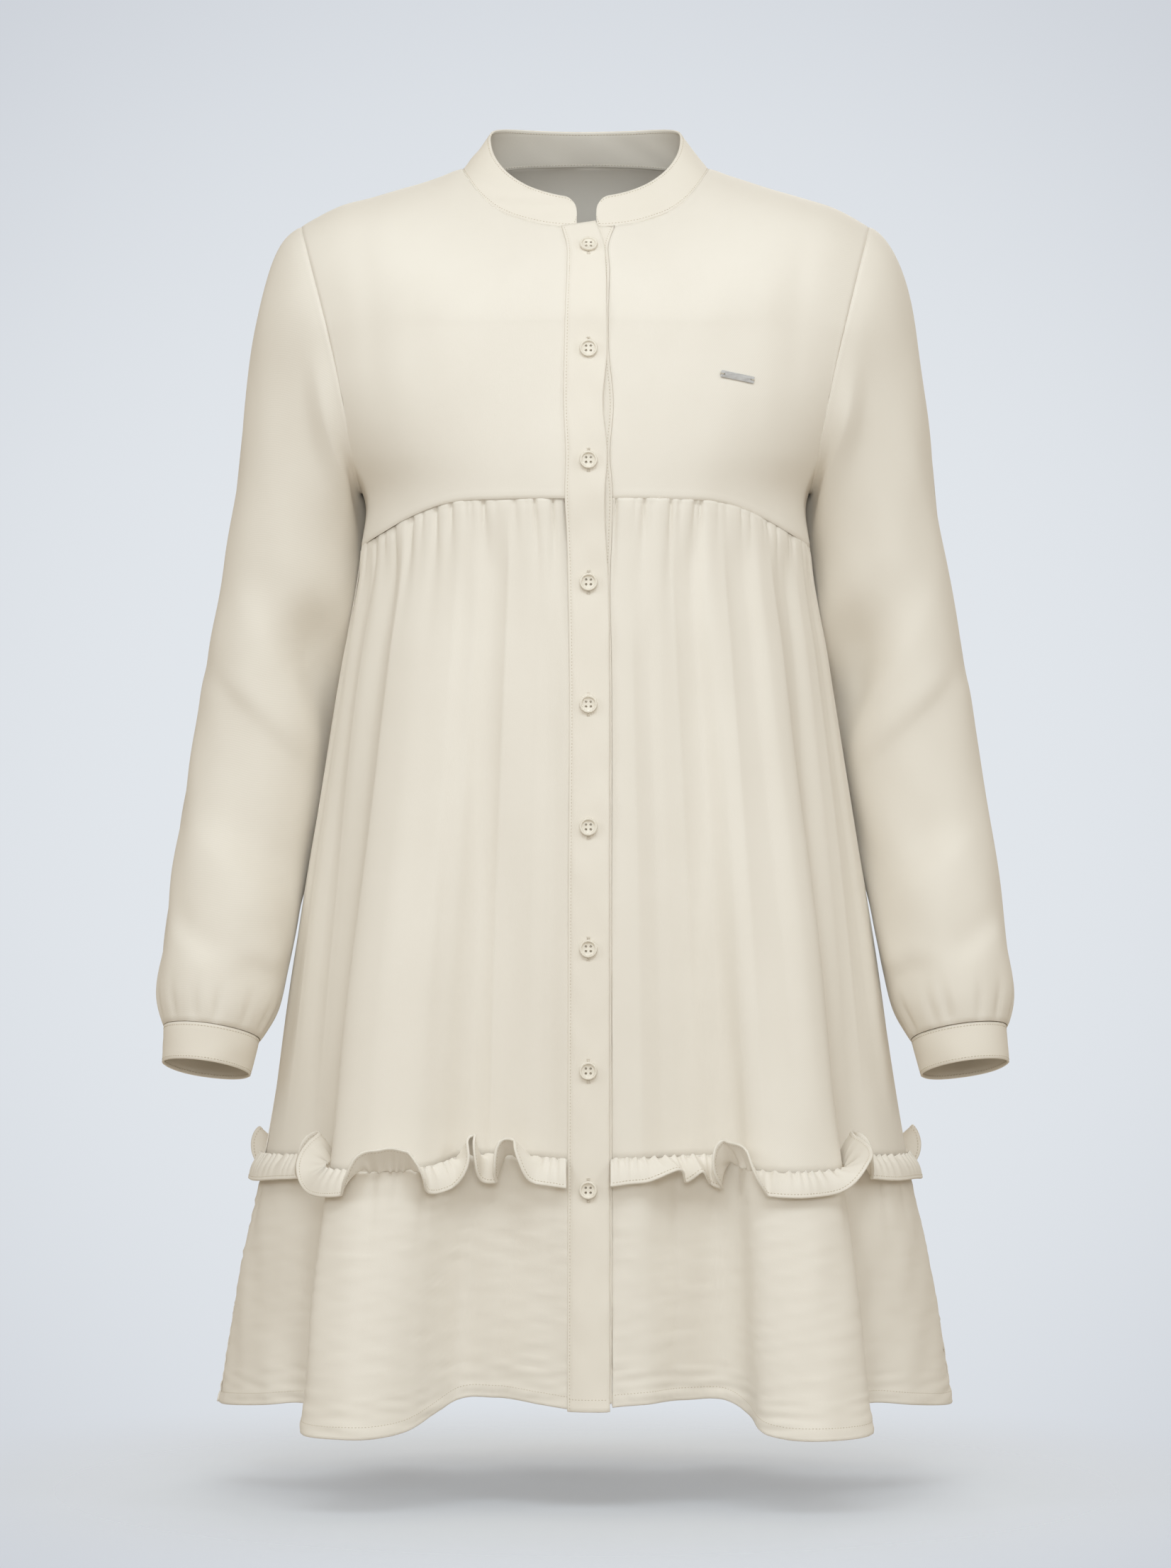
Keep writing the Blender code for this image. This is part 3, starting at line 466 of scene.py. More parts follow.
# Soft folds of the bodice: a line from x_top to x_bottom, in front (1) or behind (-1).
BODICE_FOLDS = table(
    "front x_top  x_bottom top bottom width height",
    (1, -0.152, -0.140, -0.040, -0.190, 0.008, -0.0007),
    (1, -0.128, -0.122, -0.050, -0.220, 0.011, 0.0006),
    (1, 0.149, 0.139, -0.040, -0.180, 0.008, -0.0007),
    (1, 0.124, 0.120, -0.060, -0.210, 0.010, 0.0006),
    (1, 0.030, 0.085, -0.055, -0.120, 0.006, 0.0006),
    (1, 0.026, 0.060, -0.075, -0.170, 0.007, -0.0006),
    (1, -0.034, -0.080, -0.060, -0.130, 0.007, 0.0005),
    (-1, -0.140, -0.110, -0.040, -0.230, 0.010, -0.0009),
    (-1, 0.138, 0.118, -0.050, -0.230, 0.010, -0.0009),
    (-1, 0.080, 0.060, -0.100, -0.240, 0.012, 0.0007),
    (-1, -0.070, -0.075, -0.080, -0.240, 0.012, 0.0007),
)

# Sleeve creases: from one turn and height to another; turn 0 is the outer side, 90 the front, 180 inside.
SLEEVE_CREASES = table(
    "turn_a z_a turn_b z_b width height ease",
    (24, -0.276, 176, -0.432, 0.0180, 0.0058, 0.50),
    (104, -0.292, 184, -0.384, 0.0190, -0.0070, 0.50),
    (95, -0.120, 160, -0.262, 0.0100, 0.0042, 0.45),
    (30, -0.346, 150, -0.428, 0.0080, -0.0016, 0.40),
    (30, -0.452, 150, -0.520, 0.0160, 0.0036, 0.45),
    (-20, -0.352, 60, -0.372, 0.0120, 0.0010, 0.45),
    (60, -0.100, 112, -0.230, 0.0130, -0.0020, 0.45),
    (20, -0.520, 90, -0.556, 0.0090, 0.0020, 0.40),
    (100, -0.545, 165, -0.562, 0.0080, -0.0018, 0.40),
    (200, -0.300, 330, -0.352, 0.0110, 0.0050, 0.40),
    (190, -0.400, 300, -0.370, 0.0100, -0.0032, 0.40),
    (205, -0.455, 320, -0.500, 0.0120, 0.0042, 0.40),
    (230, -0.120, 290, -0.230, 0.0120, -0.0024, 0.45),
    (240, -0.545, 330, -0.525, 0.0090, -0.0020, 0.40),
)

def curve(xs, ys, x):
    """Smooth cubic curve through a table's points, read at x."""
    step = np.diff(xs)
    rise = np.diff(ys) / step
    inner = (rise[:-1] * step[1:] + rise[1:] * step[:-1]) / (step[:-1] + step[1:])
    slope = np.concatenate((rise[:1], inner, rise[-1:]))
    x = np.clip(x, xs[0], xs[-1])
    i = np.clip(np.searchsorted(xs, x, side="right") - 1, 0, len(step) - 1)
    t = (x - xs[i]) / step[i]
    ends = ys[i] * (1 + 2 * t) * (1 - t) ** 2 + ys[i + 1] * t * t * (3 - 2 * t)
    return ends + step[i] * t * (1 - t) * (slope[i] * (1 - t) - slope[i + 1] * t)


def soft_step(t):
    """Eases from 0 to 1."""
    t = np.clip(t, 0.0, 1.0)
    return t * t * (3 - 2 * t)


def both_sides(right, left, name):
    """A column of two half tables as one column right round, from -180 to 180."""
    flip = -1 if name in ("angle", "x") else 1
    return np.concatenate((flip * right[name][:0:-1], left[name]))


def signed(angle):
    """The same angle between -180 and 180."""
    return (np.asarray(angle, dtype=float) + 180.0) % 360.0 - 180.0


def body_depth(front, z):
    """Half depth of the body in front of or behind the side seams."""
    return np.where(front, curve(BODY["z"], BODY["front"], z), curve(BODY["z"], BODY["back"], z))


def ring(angle, z):
    """Plain body's x and y at an angle from the centre front towards the wearer's left."""
    s, c = np.sin(np.radians(angle)), np.cos(np.radians(angle))
    width = curve(BODY["z"], BODY["half_width"], z)
    reach = np.abs(s / width) ** SQUARENESS + np.abs(c / body_depth(c > 0, z)) ** SQUARENESS
    radius = reach ** (-1 / SQUARENESS)
    return radius * s, -radius * c


def fold_shift(angle, z):
    """How far the hem's folds carry the cloth in x and y at a height."""
    share = curve(FOLD_SHARE["z"], FOLD_SHARE["share"], z)
    around = both_sides(FOLDS_RIGHT, FOLDS_LEFT, "angle")
    x0, y0 = ring(angle, HEM_Z)
    hem_x = curve(around, both_sides(FOLDS_RIGHT, FOLDS_LEFT, "x"), signed(angle))
    hem_y = curve(around, both_sides(FOLDS_RIGHT, FOLDS_LEFT, "y"), signed(angle))
    return share * (hem_x - x0), share * (hem_y - y0)


def shoulder_line(x, front):
    """Height of the shoulder seam and the vault's roundness at x."""
    x = np.abs(x)
    z = curve(SHOULDER["x"], SHOULDER["z"], x)
    inside = np.clip(1 - (x / NECK_HALF_WIDTH) ** 2, 0, 1)
    z_back = z + BACK_NECK_RISE * inside**BACK_NECK_POWER
    roundness = curve(SHOULDER["x"], SHOULDER["roundness"], x)
    return np.where(front, z, z_back), np.where(front, roundness, BACK_ROUNDNESS)


def cloth(angle, rise):
    """Point of the garment's body: angle round it, and rise along it from the chest line up."""
    angle, rise = np.broadcast_arrays(np.asarray(angle, dtype=float), np.asarray(rise, dtype=float))
    low_z = CHEST_Z + np.minimum(rise, 0.0)
    x, y = ring(angle, low_z)
    dx, dy = fold_shift(angle, low_z)
    turn = np.clip(rise / VAULT, 0.0, 1.0) * math.pi / 2
    top, roundness = shoulder_line(x, np.cos(np.radians(angle)) > 0)
    power = 2 / roundness
    z = low_z + (top - CHEST_Z) * np.sin(turn) ** power
    return np.stack((x + dx, y * np.clip(np.cos(turn), 0, 1) ** power + dy, z), axis=-1)


def depth_at(x, z, front):
    """The plain body's depth where it stands at x, below the chest line."""
    ratio = np.clip(np.abs(x) / curve(BODY["z"], BODY["half_width"], z), 0, 1)
    return body_depth(front, z) * (1 - ratio**SQUARENESS) ** (1 / SQUARENESS)


def above(x, y):
    """Angle and rise of the vault's point at x and y."""
    front = y < 0
    base = depth_at(x, CHEST_Z, front)
    _, roundness = shoulder_line(x, front)
    turn = np.arccos(np.clip(np.abs(y) / base, 0, 1) ** (roundness / 2))
    angle = np.degrees(np.arctan2(x, np.where(front, base, -base)))
    return angle, VAULT * turn / (math.pi / 2)


def beside(x, z, front):
    """Angle and rise of the garment's point at x and z, in front or behind."""
    low_z = np.minimum(z, CHEST_Z)
    base = depth_at(x, low_z, front)
    top, roundness = shoulder_line(x, front)
    turn = np.arcsin(np.clip((z - low_z) / (top - CHEST_Z), 0, 1) ** (roundness / 2))
    angle = np.degrees(np.arctan2(x, np.where(front, base, -base)))
    return angle, low_z - CHEST_Z + VAULT * turn / (math.pi / 2)


def neck(t, grow=0.0):
    """Neck seam's x and y, t degrees round from the centre front towards the wearer's left."""
    s, c = np.sin(np.radians(t)), np.cos(np.radians(t))
    front = -(NECK_FRONT + grow) * c * (1 + NECK_FULLNESS * s * s)
    return (NECK_HALF_WIDTH + grow) * s, np.where(c > 0, front, -(NECK_BACK + grow) * c)


def armhole(turn, front):
    """Armhole's x and z on the wearer's left, turn 0 at the shoulder tip, 180 at the underarm."""
    t = (1 - np.cos(np.radians(turn))) / 2
    underarm_x = curve(BODY["z"], BODY["half_width"], UNDERARM_Z)
    x = SHOULDER_TIP_X + (underarm_x - SHOULDER_TIP_X) * t - ARMHOLE_BOW * np.sin(math.pi * t)
    z = SHOULDER_TIP_Z + (UNDERARM_Z - SHOULDER_TIP_Z) * t
    return beside(np.minimum(x, curve(BODY["z"], BODY["half_width"], z)), z, front)


def bust_seam_rise(angle):
    """Rise of the curved seam at an angle."""
    return curve(BUST_SEAM["angle"], BUST_SEAM["z"], np.abs(signed(angle))) - CHEST_Z


def hem_rise(angle):
    """Rise of the hem at an angle."""
    around = both_sides(FOLDS_RIGHT, FOLDS_LEFT, "angle")
    return curve(around, both_sides(FOLDS_RIGHT, FOLDS_LEFT, "z"), signed(angle)) - CHEST_Z


def ruffle_rise(angle):
    """Rise of the ruffle's seam, lifted where the hem is."""
    return RUFFLE_Z - CHEST_Z + RUFFLE_LIFT * (hem_rise(angle) + CHEST_Z - HEM_Z)


def front_angle(x, rise):
    """Angle of the point at a small x near the centre front."""
    z = CHEST_Z + np.minimum(rise, 0.0)
    return np.degrees(np.arctan2(x, curve(BODY["z"], BODY["front"], z)))


def placket_x(column, rise):
    """A placket edge's x at a rise."""
    return curve(PLACKET["z"], PLACKET[column], cloth(0.0, rise)[..., 2])


def opening_x(side, rise):
    """Front panel's distance from the centre at its opening edge.

    The right panel runs under the over band, and the left one meets the under band.
    """
    if side < 0:
        return -placket_x("left", rise) - PLACKET_OVERLAP
    return placket_x("seam", rise) + PLACKET_SEAM_GAP


def outward(angle, rise):
    """Unit normal of the garment's body, pointing out."""
    across = cloth(angle + ANGLE_STEP, rise) - cloth(angle - ANGLE_STEP, rise)
    up = cloth(angle, rise + RISE_STEP) - cloth(angle, rise - RISE_STEP)
    normal = np.cross(across, up)
    return normal / np.linalg.norm(normal, axis=-1, keepdims=True)


def lifted(angle, rise, height):
    """Points of the garment's body, moved out along its normal."""
    return cloth(angle, rise) + outward(angle, rise) * np.asarray(height)[..., None]


def patch(bottom, top, left, right):
    """Grid between four edges, each a list of (angle, rise): a Coons patch, then relaxed."""
    u = np.linspace(0, 1, len(bottom))[None, :, None]
    v = np.linspace(0, 1, len(right))[:, None, None]
    sides = (1 - u) * left[:, None] + u * right[:, None]
    ends = (1 - v) * bottom[None] + v * top[None]
    low = (1 - u) * bottom[0] + u * bottom[-1]
    high = (1 - u) * top[0] + u * top[-1]
    grid = sides + ends - (1 - v) * low - v * high
    for _ in range(PATCH_TURNS):
        grid[1:-1, 1:-1] = (grid[:-2, 1:-1] + grid[2:, 1:-1] + grid[1:-1, :-2] + grid[1:-1, 2:]) / 4
    return grid


def pairs(angle, rise):
    """Angles and rises as a list of pairs."""
    return np.stack(np.broadcast_arrays(angle, rise), axis=-1)


def side_angle():
    """Angle of the front panels' side edge, half a seam gap short of the side."""
    return 90 - math.degrees(GAP / 2 / float(curve(BODY["z"], BODY["half_width"], UNDERARM_Z)))


def ripples(seed, count, long, tall, x, y):
    """Random soft waves of about unit height, long and tall apart in x and y."""
    rng = np.random.default_rng(seed)
    total = np.zeros(np.broadcast(x, y).shape)
    for _ in range(count):
        along = rng.normal() * 2 * math.pi / long
        up = rng.choice((-1, 1)) * rng.uniform(0.6, 1.5) * 2 * math.pi / tall
        total = total + np.cos(along * x + up * y + rng.uniform(0, 2 * math.pi))
    return total * math.sqrt(2 / count)


def rows_of(columns):
    """A table's rows, each as a dictionary."""
    names = list(columns)
    return [dict(zip(names, row)) for row in zip(*columns.values())]


def lengths(points):
    """Distance of each point of a grid from the grid's first row, along its column."""
    steps = np.linalg.norm(np.diff(points, axis=0), axis=-1)
    return np.concatenate((np.zeros((1, points.shape[1])), np.cumsum(steps, axis=0)))


def from_edges(points):
    """Distance of each point of a grid from its first row, last row, first column and last column."""
    up, across = lengths(points), lengths(points.transpose(1, 0, 2)).T
    return up, up[-1:] - up, across, across[:, -1:] - across


def normals_of(points, closed=False):
    """Unit normals of a grid."""
    if closed:
        across = np.roll(points, -1, axis=1) - np.roll(points, 1, axis=1)
    else:
        across = np.gradient(points, axis=1)
    normal = np.cross(across, np.gradient(points, axis=0))
    return normal / np.maximum(np.linalg.norm(normal, axis=-1, keepdims=True), 1e-12)


def inset(points, normals, distance, edge):
    """Points and normals of the line on a grid that runs a distance in from one of its edges."""
    both = np.concatenate((points, normals), axis=-1)
    if edge in ("first column", "last column"):
        both = both.transpose(1, 0, 2)
    if edge in ("last row", "last column"):
        both = both[::-1]
    run = lengths(both[..., :3])
    line = [[np.interp(distance, run[:, c], both[:, c, k]) for k in range(6)] for c in range(both.shape[1])]
    return np.array(line)[:, :3], np.array(line)[:, 3:]


def mesh_piece(name, points, faces, finish, uv=None):
    """A mesh object with smooth faces, riding on the garment."""
    mesh = bpy.data.meshes.new(name)
    mesh.from_pydata(np.asarray(points).tolist(), [], np.asarray(faces).tolist() if len(faces) else [])
    mesh.validate()
    mesh.shade_smooth()
    if uv is not None:
        layer = mesh.uv_layers.new(name="metres")
        corners = np.empty(len(mesh.loops), dtype=np.int32)
        mesh.loops.foreach_get("vertex_index", corners)
        layer.data.foreach_set("uv", np.asarray(uv, dtype=np.float32)[corners].ravel())
    mesh.materials.append(finish)
    made = bpy.data.objects.new(name, mesh)
    bpy.context.scene.collection.objects.link(made)
    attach(made, "root")
    return made


def shell(name, points, normals, thick, finish, closed=False):
    """Thin cloth round a grid of middle points, with a soft rim, and its flat lengths as its UVs."""
    rows, columns = points.shape[:2]
    half = np.broadcast_to(np.asarray(thick) / 2, (rows, columns))[..., None]
    count = rows * columns
    index = np.arange(count).reshape(rows, columns)
    wrap = np.concatenate((index, index[:, :1]), axis=1) if closed else index
    quads = np.stack((wrap[:-1, :-1], wrap[:-1, 1:], wrap[1:, 1:], wrap[1:, :-1]), axis=-1).reshape(-1, 4)
    across, up = lengths(points.transpose(1, 0, 2)).T, lengths(points)
    uv = np.stack((np.broadcast_to(across.mean(axis=0), (rows, columns)), up), axis=-1).reshape(-1, 2)
    places = [(points + normals * half).reshape(-1, 3), (points - normals * half).reshape(-1, 3)]
    uvs = [uv, uv]
    faces = [quads, quads[:, ::-1] + count]
    if closed:
        rims = [(index[0], index[1]), (index[-1][::-1], index[-2][::-1])]
    else:
        ring_edge = np.concatenate((index[0, :-1], index[:-1, -1], index[-1, :0:-1], index[:0:-1, 0]))
        inner = np.concatenate((index[1, :-1], index[:-1, -2], index[-2, :0:-1], index[:0:-1, 1]))
        rims = [(ring_edge, inner)]
    start = 2 * count
    flat = points.reshape(-1, 3)
    for edge, inside in rims:
        out = flat[edge] - flat[inside]
        out /= np.maximum(np.linalg.norm(out, axis=-1, keepdims=True), 1e-12)
        places.append(flat[edge] + out * half.reshape(-1, 1)[edge] * RIM)
        uvs.append(uv[edge])
        middle = start + np.arange(len(edge))
        after, middle_after = np.roll(edge, -1), np.roll(middle, -1)
        faces.append(np.stack((after, edge, middle, middle_after), axis=-1))
        faces.append(np.stack((middle_after, middle, edge + count, after + count), axis=-1))
        start += len(edge)
    made = mesh_piece(name, np.concatenate(places), np.concatenate(faces), finish, np.concatenate(uvs))
    return made


def cut_of(points, closed=False):
    """Width, length and area of a grid's cloth laid flat."""
    full = np.concatenate((points, points[:, :1]), axis=1) if closed else points
    width = lengths(full.transpose(1, 0, 2))[-1].max()
    length = lengths(full)[-1].max()
    one, two = full[1:, 1:] - full[:-1, :-1], full[1:, :-1] - full[:-1, 1:]
    area = np.linalg.norm(np.cross(one, two), axis=-1).sum() / 2
    return (float(width), float(length)), float(area)


def cloth_piece(name, node, points, normals, thick, finish, closed=False):
    """A shell that stands for a solid and hides it; the flat size and area of its cloth are worked out."""
    made = shell(name, points, normals, thick, finish, closed)
    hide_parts(node)
    flat, area = cut_of(points, closed)
    return made


def stitches(name, lines, depth, closed=False):
    """Rows of thread stitches along lines on the cloth; depth is how far they reach each side of it."""
    turns = np.radians((45, 135, 225, 315))
    lift = np.array((0.55, 1.0, 1.0, 0.55))
    places, faces, start = [], [], 0
    for line, out in lines:
        if closed:
            line, out = np.concatenate((line, line[:1])), np.concatenate((out, out[:1]))
        run = np.concatenate(([0], np.cumsum(np.linalg.norm(np.diff(line, axis=0), axis=-1))))
        starts = np.arange(STITCH_PITCH / 2, run[-1] - STITCH_LENGTH, STITCH_PITCH)
        at = starts[:, None] + STITCH_LENGTH * np.array((0, 0.25, 0.75, 1))
        centre = np.stack([np.interp(at, run, line[:, k]) for k in range(3)], axis=-1)
        normal = np.stack([np.interp(at, run, out[:, k]) for k in range(3)], axis=-1)
        normal /= np.linalg.norm(normal, axis=-1, keepdims=True)
        along = centre[:, -1:] - centre[:, :1]
        side = np.cross(normal, along)
        side /= np.maximum(np.linalg.norm(side, axis=-1, keepdims=True), 1e-12)
        size = lift[None, :, None, None]
        spin = np.stack((np.cos(turns), np.sin(turns)), axis=-1)[None, None]
        ring_points = centre[:, :, None] + size * (
            spin[..., :1] * side[:, :, None] * THREAD * math.sqrt(2) + spin[..., 1:] * normal[:, :, None] * depth * math.sqrt(2)
        )
        count = len(starts)
        base = start + 16 * np.arange(count)[:, None, None]
        r, k = np.arange(3)[:, None], np.arange(4)[None]
        quads = np.stack(
            (base + 4 * r + k, base + 4 * r + (k + 1) % 4, base + 4 * r + 4 + (k + 1) % 4, base + 4 * r + 4 + k), axis=-1
        )
        ends = np.concatenate((base + np.array([[[3, 2, 1, 0]]]), base + np.array([[[12, 13, 14, 15]]])))
        places.append(ring_points.reshape(-1, 3))
        faces += [quads.reshape(-1, 4), ends.reshape(-1, 4)]
        start += 16 * count
    # The thread's darker colour is partly painted shade of the stitch lines.
    made = mesh_piece(name, np.concatenate(places), np.concatenate(faces), THREAD_WITH_PAINTED_SHADE)
    return made


def armhole_edge(angle, front, tip):
    """Side edge of a bodice panel: the side seam, then the armhole up to the shoulder tip."""
    underarm = UNDERARM_Z - CHEST_Z
    seam = np.linspace(bust_seam_rise(90.0) + GAP / 2, underarm, 40)
    turns = np.linspace(180, 0, 400)[1:-1]
    edge = np.concatenate((pairs(angle, seam), pairs(*armhole(turns, front)), tip[None]))
    run = lengths(cloth(edge[:, 0], edge[:, 1])[:, None])[:, 0]
    even = np.linspace(0, run[-1], BODICE_ROWS)
    return np.stack([np.interp(even, run, edge[:, k]) for k in (0, 1)], axis=-1)


def bodice_front(side):
    """Grid of a front bodice panel; side is 1 on the wearer's left and -1 on the right."""
    top_rise = above(*neck(0.0, NECK_CUT))[1]
    start = math.degrees(math.asin(float(opening_x(side, top_rise)) / (NECK_HALF_WIDTH + NECK_CUT)))
    neck_edge = pairs(*above(*neck(np.linspace(start, 90 - NECK_SEAM_ANGLE, NECK_POINTS), NECK_CUT)))
    xs = np.linspace(NECK_HALF_WIDTH + NECK_CUT, SHOULDER_TIP_X, SHOULDER_POINTS + 1)[1:]
    shoulder = pairs(*above(xs, np.full_like(xs, -SHOULDER_GAP)))
    top = np.concatenate((neck_edge, shoulder))
    right = armhole_edge(side_angle(), True, top[-1])
    seam_angle = front_angle(opening_x(side, bust_seam_rise(0.0)), bust_seam_rise(0.0))
    low = bust_seam_rise(seam_angle) + GAP / 2
    rises = np.linspace(low, top[0, 1], BODICE_ROWS)
    left = pairs(front_angle(opening_x(side, rises), rises), rises)
    left[-1] = top[0]
    angles = np.linspace(left[0, 0], right[0, 0], len(top))
    bottom = pairs(angles, bust_seam_rise(angles) + GAP / 2)
    grid = patch(bottom, top, left, right)
    return grid * (side, 1)


def bodice_back():
    """Grid of the back bodice panel, from the left side round to the right."""
    xs = np.linspace(SHOULDER_TIP_X, NECK_HALF_WIDTH + NECK_CUT, SHOULDER_POINTS + 1)[:-1]
    shoulder = pairs(*above(xs, np.full_like(xs, SHOULDER_GAP)))
    neck_edge = pairs(*above(*neck(np.linspace(90 + NECK_SEAM_ANGLE, 180, NECK_POINTS), NECK_CUT)))
    half = np.concatenate((shoulder, neck_edge))
    half[-1, 0] = 180.0
    other = half[-2::-1] * (-1, 1) + (360, 0)
    top = np.concatenate((half, other))
    left = armhole_edge(180 - side_angle(), False, top[0])
    right = left * (-1, 1) + (360, 0)
    angles = np.linspace(left[0, 0], right[0, 0], len(top))
    bottom = pairs(angles, bust_seam_rise(angles) + GAP / 2)
    grid = patch(bottom, top, left, right)
    return grid


def seam_roll(distance):
    """Height of the little ridge and dip that run beside a seam."""
    return 0.0003 * np.exp(-(((distance - 0.0018) / 0.0011) ** 2)) - 0.00015 * np.exp(-((distance / 0.0008) ** 2))


def drape(angle, z):
    """Height of the skirt's long folds."""
    x = signed(angle)
    total = 0.0
    for fold in rows_of(DRAPES):
        before = soft_step((x - fold["start"]) / fold["soft_start"] + 0.5)
        after = 1 - soft_step((x - fold["end"]) / fold["soft_end"] + 0.5)
        if fold["crest"] < 0:
            t = np.clip((x - fold["start"]) / fold["soft_start"], 0, 1)
            before = t * (2 - t)
        if fold["crest"] > 0:
            t = np.clip((fold["end"] - x) / fold["soft_end"], 0, 1)
            after = t * (2 - t)
        along = soft_step((fold["top"] - z) / 0.05) * soft_step((z - fold["bottom"]) / 0.16)
        total = total + fold["height"] * before * after * along
    return total


def gathers(u, drop, span, count, seed, depth):
    """Height of the small gathers under a seam: narrow creases of uneven depth with puffs between them."""
    rng = np.random.default_rng(seed)
    swell = np.clip(GATHER_EDGE * np.minimum(u, 1 - u), 0, 1)
    total = 0.3 * depth * soft_step(drop / 0.007) * np.exp(-drop / 0.04) * swell
    for i in range(count):
        place = (i + 0.5 + 0.36 * rng.uniform(-1, 1)) / count
        deep = rng.choice((0.30, 0.45, 0.65, 1.25))
        reach, width = rng.uniform(0.007, 0.014) * (1 + 1.6 * deep), rng.uniform(0.0010, 0.0017)
        away = (u - place - rng.uniform(-0.12, 0.12) * drop) * span
        sharp = np.exp(-((away / (width * (1 + drop / 0.02))) ** 2)) * np.exp(-((drop / reach) ** 1.4))
        soft = np.exp(-((away / (0.0045 + 0.035 * drop)) ** 2)) * np.exp(-drop / (5 * reach))
        total = total - depth * deep * soft_step(drop / 0.0025 + 0.3) * (0.95 * sharp + 0.4 * soft)
    return total


def dressed(angle, rise, height):
    """A panel's middle points, moved out along the outward normals by a height."""
    normal = outward(angle, rise)
    points = cloth(angle, rise) + normal * np.asarray(height)[..., None]
    return points


def facing_out(points, closed=False):
    """Normals of a grid on the garment's body, turned outward."""
    normal = normals_of(points, closed)
    centre = points.mean(axis=(0, 1)) * (0, 0, 1)
    if np.sum(normal * (points - centre) * (1, 1, 0)) < 0:
        normal = -normal
    return normal


def panel(name, points, finish, thick=CLOTH):
    """A body panel whose columns run the way that makes its normals face out."""
    normal = facing_out(points)
    if np.sum(normal * normals_of(points)) < 0:
        points, normal = points[:, ::-1], normal[:, ::-1]
        thick = np.asarray(thick)[:, ::-1] if np.ndim(thick) == 2 else thick
    cloth_piece(name, name_to_node(name), points, normal, thick, finish)
    return points, normal


def name_to_node(name):
    """The solid that a piece stands for."""
    return name.removesuffix("_cloth")


def bodice_relief(angle, rise, points):
    """Height of a bodice panel's soft folds and seams."""
    x, z = points[..., 0], points[..., 2]
    total = 0.00022 * ripples(3, 16, 0.07, 0.14, x, z)
    front = np.cos(np.radians(angle)) > 0
    for fold in rows_of(BODICE_FOLDS):
        if fold["front"] < 0:
            here = ~front
        else:
            here = front
        middle = fold["x_top"] + (fold["x_bottom"] - fold["x_top"]) * (fold["top"] - z) / (fold["top"] - fold["bottom"])
        across = np.exp(-(((x - middle) / fold["width"]) ** 2))
        along = soft_step((fold["top"] - z) / 0.04) * soft_step((z - fold["bottom"]) / 0.05)
        total = total + np.where(here, fold["height"] * across * along, 0)
    low = rise - bust_seam_rise(angle)
    return total + 0.0001 * np.exp(-low / 0.0012) + 0.0003 * np.exp(-(((low - 0.0025) / 0.0018) ** 2))


def bodice(name, grid):
    """A bodice panel."""
    angle, rise = grid[..., 0], grid[..., 1]
    low = rise - bust_seam_rise(angle)
    rise = rise - SEAM_LAP * np.exp(-low / 0.004)
    base = cloth(angle, rise)
    _, top, left, right = from_edges(base)
    edge = np.minimum(top, right) if name.startswith("front") else np.minimum(top, np.minimum(left, right))
    height = bodice_relief(angle, rise, base) + seam_roll(edge)
    thick = CLOTH * (0.4 + 0.6 * soft_step(low / 0.003))
    return panel(f"{name}_cloth", dressed(angle, rise, height), CREPE, thick)


def skirt(name, first, last, count, seed):
    """A skirt panel, gathered under the curved seam."""
    u = np.linspace(0, 1, SKIRT_COLUMNS * count // GATHERS_FRONT + 1)[None]
    v = SKIRT_ROWS[:, None]
    level = (1 - v) * bust_seam_rise(first(0.0)) + v * ruffle_rise(first(0.0))
    angle = (1 - u) * first(level) + u * last(level)
    rise = (1 - v) * (bust_seam_rise(angle) - GAP / 2) + v * (ruffle_rise(angle) + GAP / 2)
    drop = bust_seam_rise(angle) - rise
    z = CHEST_Z + rise
    span = float(lengths(cloth(angle, rise).transpose(1, 0, 2))[-1, 0])
    height = gathers(u, drop, span, round(count * CREASES_PER_GATHER), seed, GATHER_DEPTH) + drape(angle, z)
    height = height + 0.00045 * ripples(seed, 18, 0.08, 0.30, angle * 0.0035, z) - SEAM_TUCK * np.exp(-drop / 0.0015)
    return panel(f"{name}_cloth", dressed(angle, rise, height), CREPE)


def tier(name, first, last, count, seed):
    """A hem tier panel, gathered under the ruffle, crinkled, with a stitched hem."""
    u = np.linspace(0, 1, TIER_COLUMNS * count // GATHERS_FRONT + 1)[None]
    v = TIER_ROWS[:, None]
    level = (1 - v) * ruffle_rise(first(0.0)) + v * hem_rise(first(0.0))
    angle = (1 - u) * first(level) + u * last(level)
    rise = (1 - v) * (ruffle_rise(angle) - GAP / 2) + v * hem_rise(angle)
    drop, above_hem = ruffle_rise(angle) - rise, rise - hem_rise(angle)
    base = cloth(angle, rise)
    span = float(lengths(base.transpose(1, 0, 2))[-1, 0])
    across = lengths(base.transpose(1, 0, 2)).T
    z = CHEST_Z + rise
    height = gathers(u, drop, span, count, seed, 0.0013) + drape(angle, z)
    height = height + 0.00022 * ripples(seed, 40, 0.055, 0.011, across, z) + 0.0004 * ripples(seed + 1, 24, 0.05, 0.2, across, z)
    in_hem = 1 - soft_step((above_hem - HEM_DEPTH) / 0.002)
    rope = np.sin(2 * math.pi * (across / 0.0085 + above_hem / 0.011) + 2.2 * ripples(seed + 2, 8, 0.06, 0.3, across, z))
    height = height + 0.00014 * in_hem * rope * soft_step(above_hem / 0.002)
    groove = 0.00045 * np.exp(-(((above_hem - HEM_DEPTH) / 0.0012) ** 2))
    thick = CLOTH + 0.0006 * in_hem - groove
    points, normals = panel(f"{name}_cloth", dressed(angle, rise, height), CREPE, thick)
    return inset(points, normals, HEM_DEPTH, "last row")


